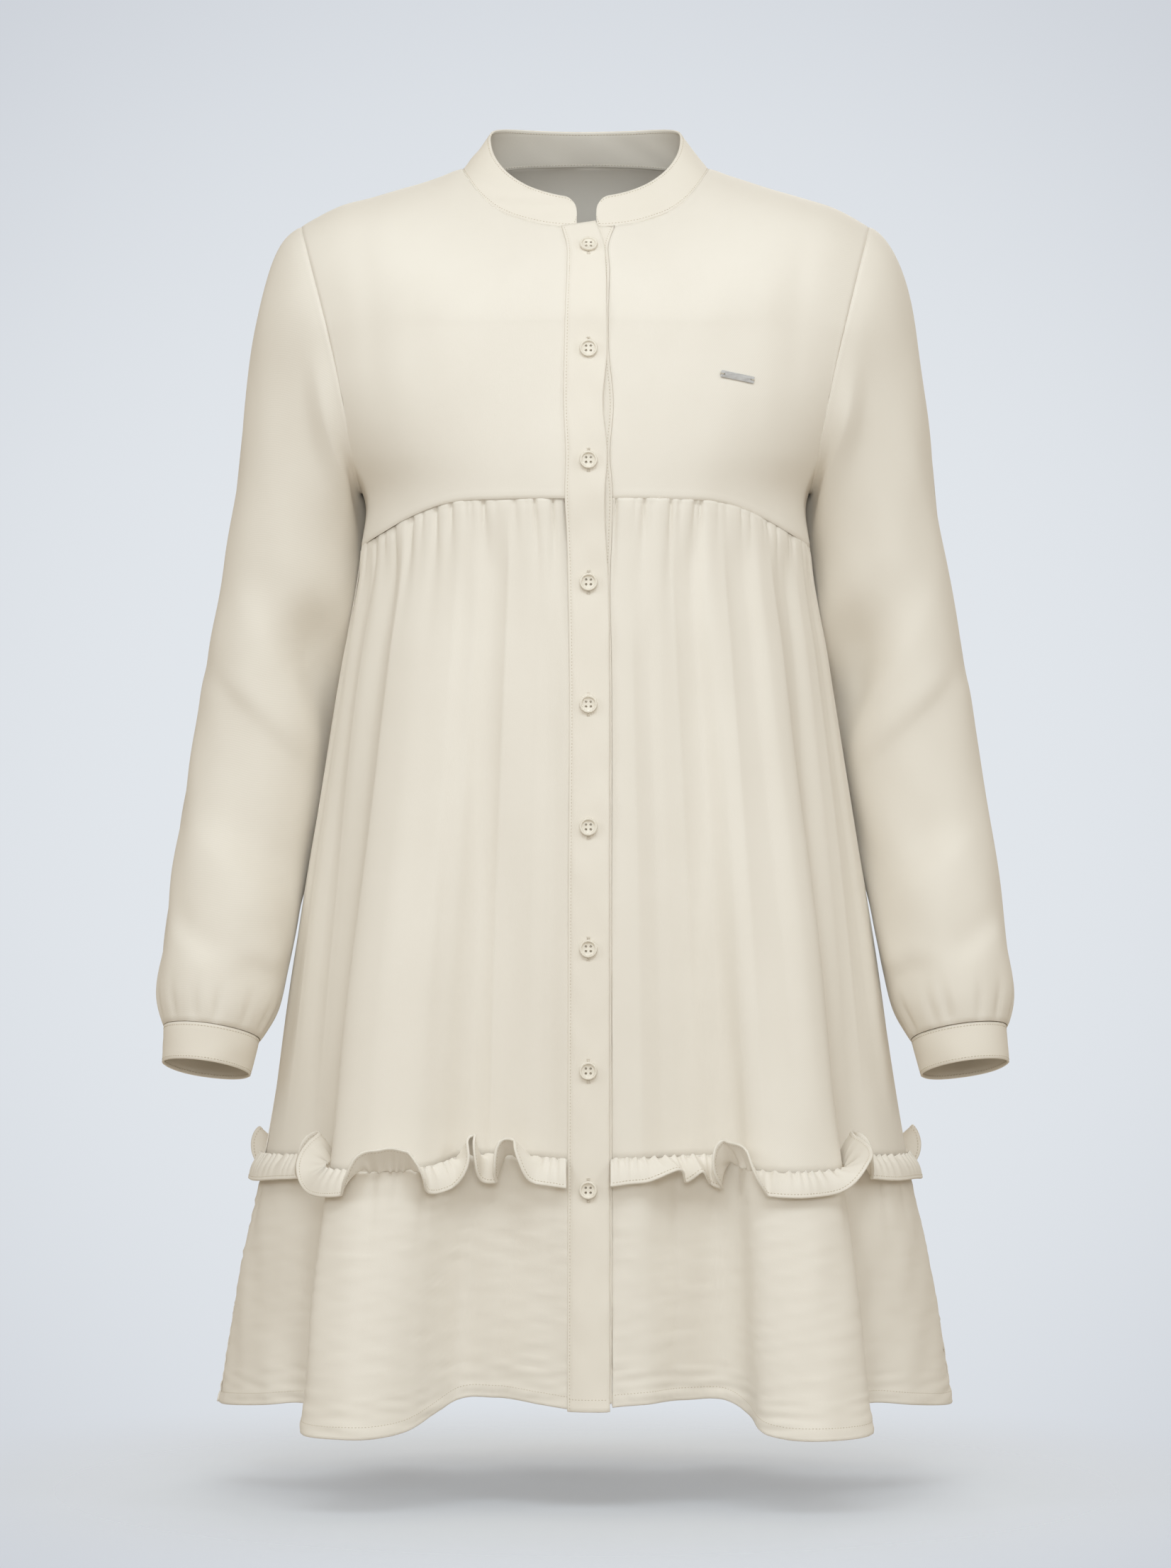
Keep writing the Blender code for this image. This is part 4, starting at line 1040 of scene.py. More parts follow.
def section(sections, z, turn):
    """Points round the left arm's section centred at a height, and the arm's direction there."""
    names = ("x", "y", "half_width", "half_depth")
    x, y, width, depth = (float(curve(sections["z"], sections[n], z)) for n in names)
    ahead = z - SECTION_STEP
    next_x, next_y = (float(curve(sections["z"], sections[n], ahead)) for n in "xy")
    along = Vector((next_x - x, next_y - y, -SECTION_STEP)).normalized()
    if ahead < sections["z"][0]:
        ends = [Vector([sections[n][i] for n in "xyz"]) for i in (0, 1)]
        along = (ends[0] - ends[1]).normalized()
    across = (Vector((1, 0, 0)) - along * along.x).normalized()
    forward = across.cross(along)
    forward *= -math.copysign(1, forward.y)
    a = np.radians(turn)[:, None]
    ring_points = np.cos(a) * width * np.array(across) + np.sin(a) * depth * np.array(forward)
    return np.array((x, y, z)) + ring_points, np.array(along)


def ruffle(name, angles, seed):
    """A ruffle strip sewn along one edge, its free edge swinging down and up."""
    angles = np.array(angles)
    turn, slide = (softened(line) for line in np.array([swing(float(a)) for a in signed(angles)]).T)
    rise = ruffle_rise(angles)
    height = np.full_like(angles, RUFFLE_ROOT)
    root = lifted(angles, rise, height)
    out = outward(angles, rise)
    to_placket = np.abs(root[:, 0]) - np.abs(root[:, 0]).min() + np.where(root[:, 1] < 0, 0, 1)
    straight = np.exp(-((to_placket / 0.012) ** 2))[:, None]
    out = out * (1 - straight) + np.array((0.0, -1.0, 0.0)) * straight
    out = out / np.linalg.norm(out, axis=-1, keepdims=True)
    up = np.array((0.0, 0.0, 1.0))
    sideways = np.cross(up, out)
    reach = np.sin(turn)[:, None] * out - np.cos(turn)[:, None] * up
    share = RUFFLE_ROWS[:, None, None]
    wide = RUFFLE_WIDTH * (1 + 0.05 * ripples(seed, 6, 0.06, 1.0, lengths(root[:, None])[:, 0], 0.0))
    points = root + wide[:, None] * share * reach + share**1.6 * slide[:, None] * sideways
    points = points + 0.0022 * np.sin(math.pi * share) * np.cos(turn)[:, None] * out
    run = lengths(root[:, None])[:, 0]
    beat = np.cos(2 * math.pi * run / 0.0068 + 2.2 * ripples(seed + 1, 6, 0.03, 1.0, run, 0.0))
    beat = 1 - 2 * ((1 - beat) / 2) ** 2.5
    pucker = 0.0013 * beat[None] * np.exp(-RUFFLE_ROWS[:, None] * RUFFLE_WIDTH / 0.0070)
    normals = normals_of(points)
    points = points + normals * pucker[..., None]
    normals = normals_of(points)
    from_free = (1 - RUFFLE_ROWS)[:, None] * RUFFLE_WIDTH
    thick = CLOTH + 0.0007 * (1 - soft_step((from_free - RUFFLE_HEM) / 0.0006)) + 0 * run
    thick = thick - 0.0004 * np.exp(-(((from_free - RUFFLE_HEM) / 0.0005) ** 2))
    cloth_piece(f"{name}_cloth", name, points, normals, thick, CREPE)
    return inset(points, normals, RUFFLE_HEM, "last row")


def softened(line):
    """A row of numbers with its corners rounded off."""
    weights = np.exp(-(np.linspace(-2, 2, RUFFLE_SOFTENING) ** 2))
    spread = len(weights) // 2
    return np.convolve(np.pad(line, spread, mode="edge"), weights / weights.sum(), mode="valid")


def swing(angle):
    """The ruffle's angle off straight down, and how far its free edge leans sideways."""
    waves = WAVES_LEFT if angle >= 0 else WAVES_RIGHT
    i = min(int(np.searchsorted(waves["angle"], abs(angle), side="right")) - 1, len(waves["angle"]) - 2)
    a, b = waves["angle"][i : i + 2]
    low, high = waves["swing"][i : i + 2]
    t = (abs(angle) - a) / (b - a)
    lean = RUFFLE_LEAN * abs(high - low) / 120 * math.sin(2 * math.pi * t)
    turn = low + (high - low) * soft_step((t - 0.5) * RUFFLE_SNAP + 0.5)
    return math.radians(turn), math.copysign(lean, angle) if angle else lean


def band_rises(low_z, count):
    """Rises of a placket band's rows from the hem up to the neck."""
    z = np.linspace(low_z, PLACKET_TOP_Z, count)
    rises = beside(np.zeros_like(z), z, True)[1]
    return np.concatenate((rises, np.linspace(rises[-1], above(*neck(0.0, NECK_CUT))[1], 6)[1:]))


def placket_over():
    """The band with the buttonholes, sewn on along one edge and free along the other."""
    rise = band_rises(PLACKET_OVER_Z, BAND_ROWS)[:, None]
    u = BAND_COLUMNS
    x = placket_x("left", rise) * (1 - u) + placket_x("right", rise) * u
    rise = rise + CORNER_RISE * u**1.5 * np.exp((rise - rise[-1]) / 0.009)
    angle = front_angle(x, rise)
    settle = (LAYER - CLOTH / 2 - BAND / 2) * (1 - soft_step(u / 0.16))
    z = cloth(0.0, rise)[..., 2]
    pull = sum(np.exp(-(((z - b) / 0.012) ** 2)) for b in BUTTON_Z)
    soft = 0.00022 * ripples(31, 14, 0.03, 0.05, x, z) * soft_step(u / 0.2)
    height = LAYER + placket_x("lift", rise) * u * u - settle + soft - 0.0002 * pull * np.sin(math.pi * u)
    height = height + 0.00035 * np.exp(-(((u - 0.02) / 0.02) ** 2)) - 0.0002 * np.exp(-(((u - 0.062) / 0.02) ** 2))
    points = lifted(angle, rise, height)
    normals = facing_out(points)
    cloth_piece("placket_over_cloth", "placket_over", points, normals, BAND, CREPE_FIRM)
    low = inset(points, normals, PLACKET_HEM, "first row")
    return [inset(points, normals, BAND_STITCH, "first column"), low]


def placket_under():
    """The band with the buttons, between the right panel's edge and the left panel's."""
    rise = band_rises(PLACKET_UNDER_Z, BAND_ROWS)[:, None]
    u = BAND_COLUMNS[::-1] * -1 + 1
    x = (placket_x("left", rise) + PLACKET_OVERLAP + GAP) * (1 - u) + placket_x("seam", rise) * u
    height = 0.0004 * np.exp(-(((1 - u) / 0.03) ** 2)) + 0 * rise
    points = lifted(front_angle(x, rise), rise, height)
    normals = facing_out(points)
    cloth_piece("placket_under_cloth", "placket_under", points, normals, BAND, CREPE_FIRM)
    return [inset(points, normals, BAND_STITCH, "last column"), inset(points, normals, PLACKET_HEM, "first row")]


def collar():
    """The band collar, from its left end round the back to its right end."""
    ends = np.linspace(0, COLLAR_CORNER_LENGTH, 16)
    scale = (NECK_FRONT + NECK_HALF_WIDTH) / 2
    start = math.degrees(math.asin(COLLAR_END_LEFT_X / NECK_HALF_WIDTH))
    stop = 360 - math.degrees(math.asin(COLLAR_END_RIGHT_X / NECK_HALF_WIDTH))
    step = np.degrees(ends / scale)
    t = np.concatenate((start + step, np.linspace(start + step[-1], stop - step[-1], 190)[1:-1], stop - step[::-1]))
    s, c = np.sin(np.radians(t)), np.cos(np.radians(t))
    base = cloth(*above(*neck(t)))
    top_y = -np.where(c > 0, COLLAR_TOP_FRONT, COLLAR_TOP_BACK) * c
    back = COLLAR_BACK_RISE * (1 - (1 - np.abs(c)) ** 3)
    top_z = COLLAR_SIDE_Z + np.where(c > 0, -COLLAR_FRONT_DROP * c, back)
    top = np.stack((COLLAR_TOP_HALF_WIDTH * s, top_y, top_z), axis=-1)
    from_end = np.minimum(t - t[0], t[-1] - t) * math.radians(scale)
    short = np.clip(1 - from_end / COLLAR_CORNER_LENGTH, 0, 1)
    full = 1 - COLLAR_CORNER_SHARE * (1 - np.sqrt(1 - short**2))
    v = np.linspace(COLLAR_FOOT, 1, 20)[:, None] * full
    points = base + v[..., None] * (top - base)
    normals = facing_out(points)
    if np.sum(normals * normals_of(points)) < 0:
        points, normals = points[:, ::-1], normals[:, ::-1]
    run = lengths(points.transpose(1, 0, 2)).T
    height = 0.00012 * ripples(41, 14, 0.06, 0.09, run, points[..., 2])
    low, high, first, last = from_edges(points)
    edge = np.minimum(high, np.minimum(first, last))
    thick = STIFF - 0.0005 * np.exp(-(((edge - COLLAR_STITCH) / 0.0006) ** 2))
    thick = thick - 0.0004 * np.exp(-(((low - COLLAR_STITCH) / 0.0006) ** 2)) + 0.0004 * np.exp(-((low / 0.0009) ** 2))
    points = points + normals * height[..., None]
    cloth_piece("collar_cloth", "collar", points, normals, thick, CREPE_FIRM)
    top_line = inset(points, normals, COLLAR_STITCH, "last row")
    keep = slice(5, -5)
    base_line = inset(points, normals, COLLAR_STITCH, "first row")
    ends = [inset(points, normals, COLLAR_STITCH, e) for e in ("first column", "last column")]
    return [(top_line[0][keep], top_line[1][keep]), base_line] + [(p[2:-4], n[2:-4]) for p, n in ends]


def sleeve_relief(points, turn, seed):
    """Height of a sleeve's creases and soft folds."""
    z = points[..., 2]
    total = 0.0004 * ripples(seed, 18, 1.6, 0.11, np.radians(turn), z)
    for fold in rows_of(SLEEVE_CREASES):
        run = np.array(((fold["turn_b"] - fold["turn_a"]) * ARM_ARC, fold["z_b"] - fold["z_a"]))
        size = np.linalg.norm(run)
        run = run / size
        dx = signed(turn - fold["turn_a"]) * ARM_ARC
        dz = z - fold["z_a"]
        along = (dx * run[0] + dz * run[1]) / size
        away = (dz * run[0] - dx * run[1]) / fold["width"]
        ends = soft_step(along / fold["ease"] + 0.1) * soft_step((1 - along) / fold["ease"] + 0.1)
        ridge = np.exp(-((away / np.where(away > 0, 0.75, 1.9)) ** 2))
        trough = 0.75 * np.exp(-(((away - 1.5) / 1.1) ** 2))
        total = total + fold["height"] * ends * (ridge - trough)
    return total


def sleeve(side):
    """A sleeve, from the armhole down to the cuff; turn 0 is outside, 90 in front. Returns nothing."""
    turn = np.arange(SLEEVE_SIDES) * 360.0 / SLEEVE_SIDES
    front = turn <= 180
    start = cloth(*armhole(np.where(front, turn, 360 - turn), front))
    s, c = np.sin(np.radians(turn)), np.cos(np.radians(turn))
    out, around, up, down = (SLEEVE_LEAVES[n] for n in ("out", "around", "up", "down"))
    away = np.stack((np.full_like(turn, out), around * s, up - down * c), axis=-1)
    away /= np.linalg.norm(away, axis=-1, keepdims=True)
    start = start + SLEEVE_START_GAP * away
    end, along = section(SLEEVE, ARM_TOP_Z, turn)
    span = np.linalg.norm(end - start, axis=-1, keepdims=True)
    rows = []
    for t in np.linspace(0, 1, SLEEVE_CAP_ROWS)[:-1]:
        ease = t * t * (3 - 2 * t)
        pull = SLEEVE_START_PULL * t * (1 - t) ** 2 * away - SLEEVE_END_PULL * t * t * (1 - t) * along
        rows.append(start * (1 - ease) + end * ease + span * pull)
    for z in np.linspace(ARM_TOP_Z, ARM_END_Z, SLEEVE_ARM_ROWS):
        rows.append(section(SLEEVE, z, turn)[0])
    points = np.stack(rows)
    normals = normals_of(points, closed=True)
    to_start, to_end = lengths(points), lengths(points)[-1:] - lengths(points)
    share = np.exp(-(((to_end - 0.012) / 0.014) ** 2)) * soft_step(to_end / 0.004 + 0.3)
    rng = np.random.default_rng(61 if side > 0 else 62)
    puffs = np.zeros_like(turn)
    for i in range(SLEEVE_GATHERS):
        middle = (i + 0.5 + 0.25 * rng.uniform(-1, 1)) * 360 / SLEEVE_GATHERS
        puffs = puffs - rng.uniform(0.7, 1.2) * np.exp(-((signed(turn - middle) / 4.5) ** 2))
    height = SLEEVE_GATHER_DEPTH * share * (0.35 + 1.5 * puffs) + sleeve_relief(points, turn, 51 if side > 0 else 52)
    height = height * soft_step(to_start / 0.02) * soft_step(to_end / 0.004 + 0.2) + seam_roll(to_start)
    z = points[..., 2]
    armpit = np.exp(-((signed(turn - 214) / 34) ** 2)) * np.exp(-(((z - ARMPIT_Z) / 0.022) ** 2))
    behind = np.exp(-((signed(turn - 208) / 26) ** 2)) * soft_step((-0.225 - z) / 0.03) * soft_step((z + 0.515) / 0.05)
    push = (ARMPIT_PUSH * armpit + BEHIND_PUSH * behind) * soft_step(to_start / 0.010)
    points = points - push[..., None] * (1, 0, 0)
    points = (points + normals * height[..., None]) * (side, 1, 1)
    normals = normals_of(points, closed=True) * side
    if side < 0:
        points, normals = points[:, ::-1], normals[:, ::-1]
    name = f"sleeve_{'left' if side > 0 else 'right'}"
    cloth_piece(f"{name}_cloth", name, points, normals, CLOTH, CREPE, closed=True)


def cuff(side):
    """A cuff, and its two rows of stitches."""
    turn = np.arange(CUFF_SIDES) * 360.0 / CUFF_SIDES
    points = np.stack([section(CUFF, z, turn)[0] for z in np.linspace(CUFF["z"][1], CUFF["z"][0], 16)]) * (side, 1, 1)
    if side < 0:
        points = points[:, ::-1]
    normals = normals_of(points, closed=True)
    down, up = lengths(points), lengths(points)[-1:] - lengths(points)
    edge = np.minimum(down, up)
    thick = STIFF - 0.0005 * np.exp(-(((edge - CUFF_STITCH) / 0.0006) ** 2))
    height = 0.0003 * ripples(71 if side > 0 else 72, 12, 2.0, 0.04, np.radians(turn), points[..., 2])
    points = points + normals * height[..., None]
    name = f"cuff_{'left' if side > 0 else 'right'}"
    cloth_piece(f"{name}_cloth", name, points, normals, thick, CREPE_FIRM, closed=True)
    rows = [inset(points, normals, CUFF_STITCH, edge) for edge in ("first row", "last row")]
    stitches(f"{name}_stitches", rows, STIFF / 2 + 0.00005, closed=True)


def node(tree, kind, **values):
    """A shader node with some of its inputs or settings given."""
    made = tree.nodes.new(kind)
    for name, value in values.items():
        socket = made.inputs.get(name.replace("_", " "))
        if socket is None:
            setattr(made, name, value)
        else:
            socket.default_value = value
    return made


def crepe(name, light, dark, roughness):
    """Crepe cloth: fine diagonal bands, a crinkled grain, and a slightly uneven colour."""
    made = bpy.data.materials.new(name)
    made.use_nodes = True
    tree = made.node_tree
    link = tree.links.new
    shader = tree.nodes["Principled BSDF"]
    flat = node(tree, "ShaderNodeTexCoord")
    turn = node(tree, "ShaderNodeMapping", Rotation=(0, 0, math.radians(WEAVE_ANGLE)))
    link(flat.outputs["UV"], turn.inputs["Vector"])
    twill = node(tree, "ShaderNodeTexWave", Scale=0.314 / WEAVE_PITCH, Distortion=1.2, Detail=2.0)
    twill.inputs["Detail Scale"].default_value = 3.0
    link(turn.outputs["Vector"], twill.inputs["Vector"])
    grain = node(tree, "ShaderNodeTexNoise", Scale=1 / GRAIN, Detail=3.0, Roughness=0.6)
    link(flat.outputs["UV"], grain.inputs["Vector"])
    cloud = node(tree, "ShaderNodeTexNoise", Scale=1 / 0.05, Detail=4.0)
    link(flat.outputs["Object"], cloud.inputs["Vector"])
    both = node(tree, "ShaderNodeMix", data_type="FLOAT", Factor=0.55)
    link(twill.outputs["Fac"], both.inputs["A"])
    link(grain.outputs["Fac"], both.inputs["B"])
    bump = node(tree, "ShaderNodeBump", Strength=0.35, Distance=0.00012)
    link(both.outputs["Result"], bump.inputs["Height"])
    link(bump.outputs["Normal"], shader.inputs["Normal"])
    shade = node(tree, "ShaderNodeMix", data_type="FLOAT", Factor=0.5)
    link(cloud.outputs["Fac"], shade.inputs["A"])
    link(both.outputs["Result"], shade.inputs["B"])
    ramp = node(tree, "ShaderNodeValToRGB")
    ramp.color_ramp.elements[0].position = 0.3
    ramp.color_ramp.elements[0].color = (*dark, 1)
    ramp.color_ramp.elements[1].position = 0.7
    ramp.color_ramp.elements[1].color = (*light, 1)
    link(shade.outputs["Result"], ramp.inputs["Fac"])
    link(ramp.outputs["Color"], shader.inputs["Base Color"])
    rough = node(tree, "ShaderNodeMapRange")
    rough.inputs["To Min"].default_value = roughness - 0.06
    rough.inputs["To Max"].default_value = roughness + 0.06
    link(both.outputs["Result"], rough.inputs["Value"])
    link(rough.outputs["Result"], shader.inputs["Roughness"])
    shader.inputs["Sheen Weight"].default_value = 0.12
    shader.inputs["Sheen Roughness"].default_value = 0.45
    shader.inputs["Specular IOR Level"].default_value = 0.35
    return made


def plain(name, light, dark, roughness, scale, metallic=0.0, bump_height=0.0):
    """A hard or thread material whose colour and roughness vary a little."""
    made = bpy.data.materials.new(name)
    made.use_nodes = True
    tree = made.node_tree
    link = tree.links.new
    shader = tree.nodes["Principled BSDF"]
    place = node(tree, "ShaderNodeTexCoord")
    stretch = node(tree, "ShaderNodeMapping", Scale=scale)
    link(place.outputs["Object"], stretch.inputs["Vector"])
    noise = node(tree, "ShaderNodeTexNoise", Scale=1.0, Detail=3.0)
    link(stretch.outputs["Vector"], noise.inputs["Vector"])
    ramp = node(tree, "ShaderNodeValToRGB")
    ramp.color_ramp.elements[0].position = 0.3
    ramp.color_ramp.elements[0].color = (*dark, 1)
    ramp.color_ramp.elements[1].position = 0.7
    ramp.color_ramp.elements[1].color = (*light, 1)
    link(noise.outputs["Fac"], ramp.inputs["Fac"])
    link(ramp.outputs["Color"], shader.inputs["Base Color"])
    rough = node(tree, "ShaderNodeMapRange")
    rough.inputs["To Min"].default_value = roughness * 0.8
    rough.inputs["To Max"].default_value = roughness * 1.2
    link(noise.outputs["Fac"], rough.inputs["Value"])
    link(rough.outputs["Result"], shader.inputs["Roughness"])
    if bump_height:
        bump = node(tree, "ShaderNodeBump", Strength=0.5, Distance=bump_height)
        link(noise.outputs["Fac"], bump.inputs["Height"])
        link(bump.outputs["Normal"], shader.inputs["Normal"])
    shader.inputs["Metallic"].default_value = metallic
    return made


def floor_finish():
    """Pale matt floor that fades out with distance."""
    made = bpy.data.materials.new("floor")
    made.use_nodes = True
    tree = made.node_tree
    link = tree.links.new
    shader = tree.nodes["Principled BSDF"]
    shader.inputs["Roughness"].default_value = 0.8
    place = node(tree, "ShaderNodeTexCoord")
    noise = node(tree, "ShaderNodeTexNoise", Scale=40.0, Detail=2.0)
    link(place.outputs["Object"], noise.inputs["Vector"])
    tone = node(tree, "ShaderNodeValToRGB")
    tone.color_ramp.elements[0].color = (*[c * 0.985 for c in FLOOR_COLOUR], 1)
    tone.color_ramp.elements[1].color = (*FLOOR_COLOUR, 1)
    link(noise.outputs["Fac"], tone.inputs["Fac"])
    link(tone.outputs["Color"], shader.inputs["Base Color"])
    reach = node(tree, "ShaderNodeVectorMath", operation="LENGTH")
    link(place.outputs["Object"], reach.inputs[0])
    fade = node(tree, "ShaderNodeMapRange", interpolation_type="SMOOTHSTEP")
    fade.inputs["From Min"].default_value = FLOOR_FADE
    fade.inputs["From Max"].default_value = FLOOR_RADIUS
    fade.inputs["To Min"].default_value = FLOOR_SHOWS
    fade.inputs["To Max"].default_value = 0.0
    link(reach.outputs["Value"], fade.inputs["Value"])
    link(fade.outputs["Result"], shader.inputs["Alpha"])
    return made


CREPE = crepe("crepe", (0.845, 0.800, 0.728), (0.810, 0.762, 0.686), 0.72)
CREPE_FIRM = crepe("crepe_firm", (0.845, 0.795, 0.716), (0.810, 0.757, 0.674), 0.70)
# Stitch thread, darker than the cloth: partly the thread's own colour, partly painted shade of the stitch lines.
THREAD_WITH_PAINTED_SHADE = plain("thread", (0.70, 0.63, 0.52), (0.58, 0.51, 0.41), 0.6, (900, 900, 900), bump_height=0.00005)
BUTTON_PLASTIC = plain("button_plastic", (0.83, 0.78, 0.69), (0.79, 0.735, 0.64), 0.5, (160, 160, 160))
# Thread in the button holes: its dark colour is painted shade for the inside of the holes.
THREAD_PAINTED_SHADE = plain("thread_painted_shade", (0.46, 0.40, 0.32), (0.36, 0.31, 0.24), 0.7, (900, 900, 900), bump_height=0.00005)
THREAD_PALE = plain("thread_pale", (0.80, 0.74, 0.65), (0.72, 0.66, 0.57), 0.6, (900, 900, 900), bump_height=0.00005)
BAR_STEEL = plain("bar_steel", (0.66, 0.66, 0.665), (0.52, 0.52, 0.53), 0.42, (60, 900, 900), 1.0, 0.00001)


def fixed(angle):
    """The same angle at every rise."""
    return lambda rise: angle


def opening_angle(side):
    """The opening edge's angle as a function of the rise."""
    return lambda rise: side * front_angle(opening_x(side, rise), rise)


def seated(x, z, lift, tilt=0.0):
    """Placement on the front at x and z, its own z along the cloth's normal."""
    angle, rise = beside(np.array(x), np.array(z), True)
    normal = Vector(outward(angle, rise))
    point = Vector(lifted(angle, rise, lift))
    across = (Vector((1, 0, 0)) - normal * normal.x).normalized()
    turn = Matrix((across, normal.cross(across), normal)).transposed().to_4x4()
    return Matrix.Translation(point) @ turn @ Matrix.Rotation(math.radians(tilt), 4, "Z")


def placed(points, matrix):
    """Points moved by a placement."""
    turn = np.array(matrix)
    return np.asarray(points) @ turn[:3, :3].T + turn[:3, 3]


def drilled(solid, holes, radius, depth, finish):
    """A bmesh as a mesh with round holes cut through it at the given x and y."""
    mesh = bpy.data.meshes.new("blank")
    solid.to_mesh(mesh)
    solid.free()
    blank = bpy.data.objects.new("blank", mesh)
    bpy.context.scene.collection.objects.link(blank)
    drill = bmesh.new()
    for x, y in holes:
        place = Matrix.Translation((x, y, 0))
        sizes = {"radius1": radius, "radius2": radius, "depth": depth}
        bmesh.ops.create_cone(drill, cap_ends=True, segments=16, matrix=place, **sizes)
    cutter_mesh = bpy.data.meshes.new("drill")
    drill.to_mesh(cutter_mesh)
    drill.free()
    cutter = bpy.data.objects.new("drill", cutter_mesh)
    bpy.context.scene.collection.objects.link(cutter)
    cut = blank.modifiers.new("holes", "BOOLEAN")
    cut.object = cutter
    cut.operation = "DIFFERENCE"
    view = bpy.context.evaluated_depsgraph_get()
    made = bpy.data.meshes.new_from_object(blank.evaluated_get(view))
    for old in (blank, cutter):
        bpy.data.objects.remove(old)
    made.materials.clear()
    made.materials.append(finish)
    return made


def set_down(name, mesh, matrix, node):
    """A rigid piece in place, standing for a solid."""
    mesh.transform(matrix)
    made = bpy.data.objects.new(name, mesh)
    bpy.context.scene.collection.objects.link(made)
    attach(made, "root")
    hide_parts(node)


def button_blank():
    """A four-hole button with a rounded rim and a dished middle."""
    made = bmesh.new()
    outline = zip(*BUTTON_PROFILE.values())
    corners = [made.verts.new((r * BUTTON_RADIUS, 0, h * BUTTON_HEIGHT)) for r, h in outline]
    edges = [made.edges.new(ends) for ends in zip(corners[:-1], corners[1:])]
    turned = {"cent": (0, 0, 0), "axis": (0, 0, 1), "angle": 2 * math.pi, "steps": BUTTON_SIDES}
    bmesh.ops.spin(made, geom=corners + edges, **turned)
    bmesh.ops.remove_doubles(made, verts=made.verts, dist=1e-5)
    bmesh.ops.recalc_face_normals(made, faces=made.faces)
    holes = [(x * HOLE_OFF, y * HOLE_OFF) for x in (-1, 1) for y in (-1, 1)]
    mesh = drilled(made, holes, HOLE_RADIUS, 0.01, BUTTON_PLASTIC)
    mesh.shade_smooth()
    mesh.set_sharp_from_angle(angle=math.radians(50))
    return mesh


def bars(name, places, finish):
    """Small rounded bars of thread, each given by its ends, its outward direction, width and height."""
    shape = np.array([(math.cos(a), math.sin(a)) for a in np.radians(np.arange(6) * 60)])
    taper = np.array((0.35, 0.85, 1.0, 0.85, 0.35))
    share = np.array((0, 0.1, 0.5, 0.9, 1.0))
    points, faces = [], []
    for start, end, out, width, height in places:
        start, end, out = np.array(start), np.array(end), np.array(out)
        side = np.cross(out, end - start)
        side /= np.linalg.norm(side)
        base = 30 * len(points)
        middle = start + share[:, None] * (end - start)
        ring_points = width * shape[None, :, :1] * side + height * shape[None, :, 1:] * out
        points.append((middle[:, None] + taper[:, None, None] * ring_points).reshape(-1, 3))
        for r in range(4):
            for k in range(6):
                after = (k + 1) % 6
                faces.append([base + 6 * r + k, base + 6 * r + after, base + 6 * r + 6 + after, base + 6 * r + 6 + k])
        faces.append([base + k for k in range(5, -1, -1)])
        faces.append([base + 24 + k for k in range(6)])
    mesh = bpy.data.meshes.new(name)
    mesh.from_pydata(np.concatenate(points).tolist(), [], faces)
    mesh.shade_smooth()
    mesh.materials.append(finish)
    made = bpy.data.objects.new(name, mesh)
    bpy.context.scene.collection.objects.link(made)
    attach(made, "root")


def buttons():
    """The buttons, their sewing, painted dark as the shade inside the holes, and the stitched buttonholes under them.
    """
    blank = button_blank()
    sewing, holes = [], []
    top = BUTTON_HEIGHT * 0.12
    for number, z in enumerate(BUTTON_Z, start=1):
        place = seated(BUTTON_X, z, LAYER + BAND / 2 + GAP)
        set_down(f"button_{number}_rim", blank.copy(), place, f"button_{number}")
        out = np.array(place)[:3, 2]
        for x in (-HOLE_OFF, HOLE_OFF):
            # Wide thread bars low in the holes; their dark colour paints the holes' shade.
            ends = placed([(x, y * HOLE_OFF, top) for y in (-1, 1)], place)
            sewing.append((ends[0], ends[1], out, 0.00095, 0.0002))
        face = seated(BUTTON_X, z, LAYER + BAND / 2)
        for step in np.arange(-HOLE_LENGTH, HOLE_LENGTH + 1e-6, 0.00060):
            for side in (-1, 1):
                ends = placed([(side * 0.00012, step, 0), (side * 0.00115, step, 0)], face)
                holes.append((ends[0], ends[1], out, 0.00022, 0.0002))
        for side in (-1, 1):
            for step in (0, 0.0004, 0.0008):
                ends = placed([(x, side * (HOLE_LENGTH + step), 0) for x in (-0.0012, 0.0012)], face)
                holes.append((ends[0], ends[1], out, 0.00022, 0.00026))
    bars("button_sewing_painted_shade", sewing, THREAD_PAINTED_SHADE)
    bars("buttonhole_stitches", holes, THREAD_PALE)


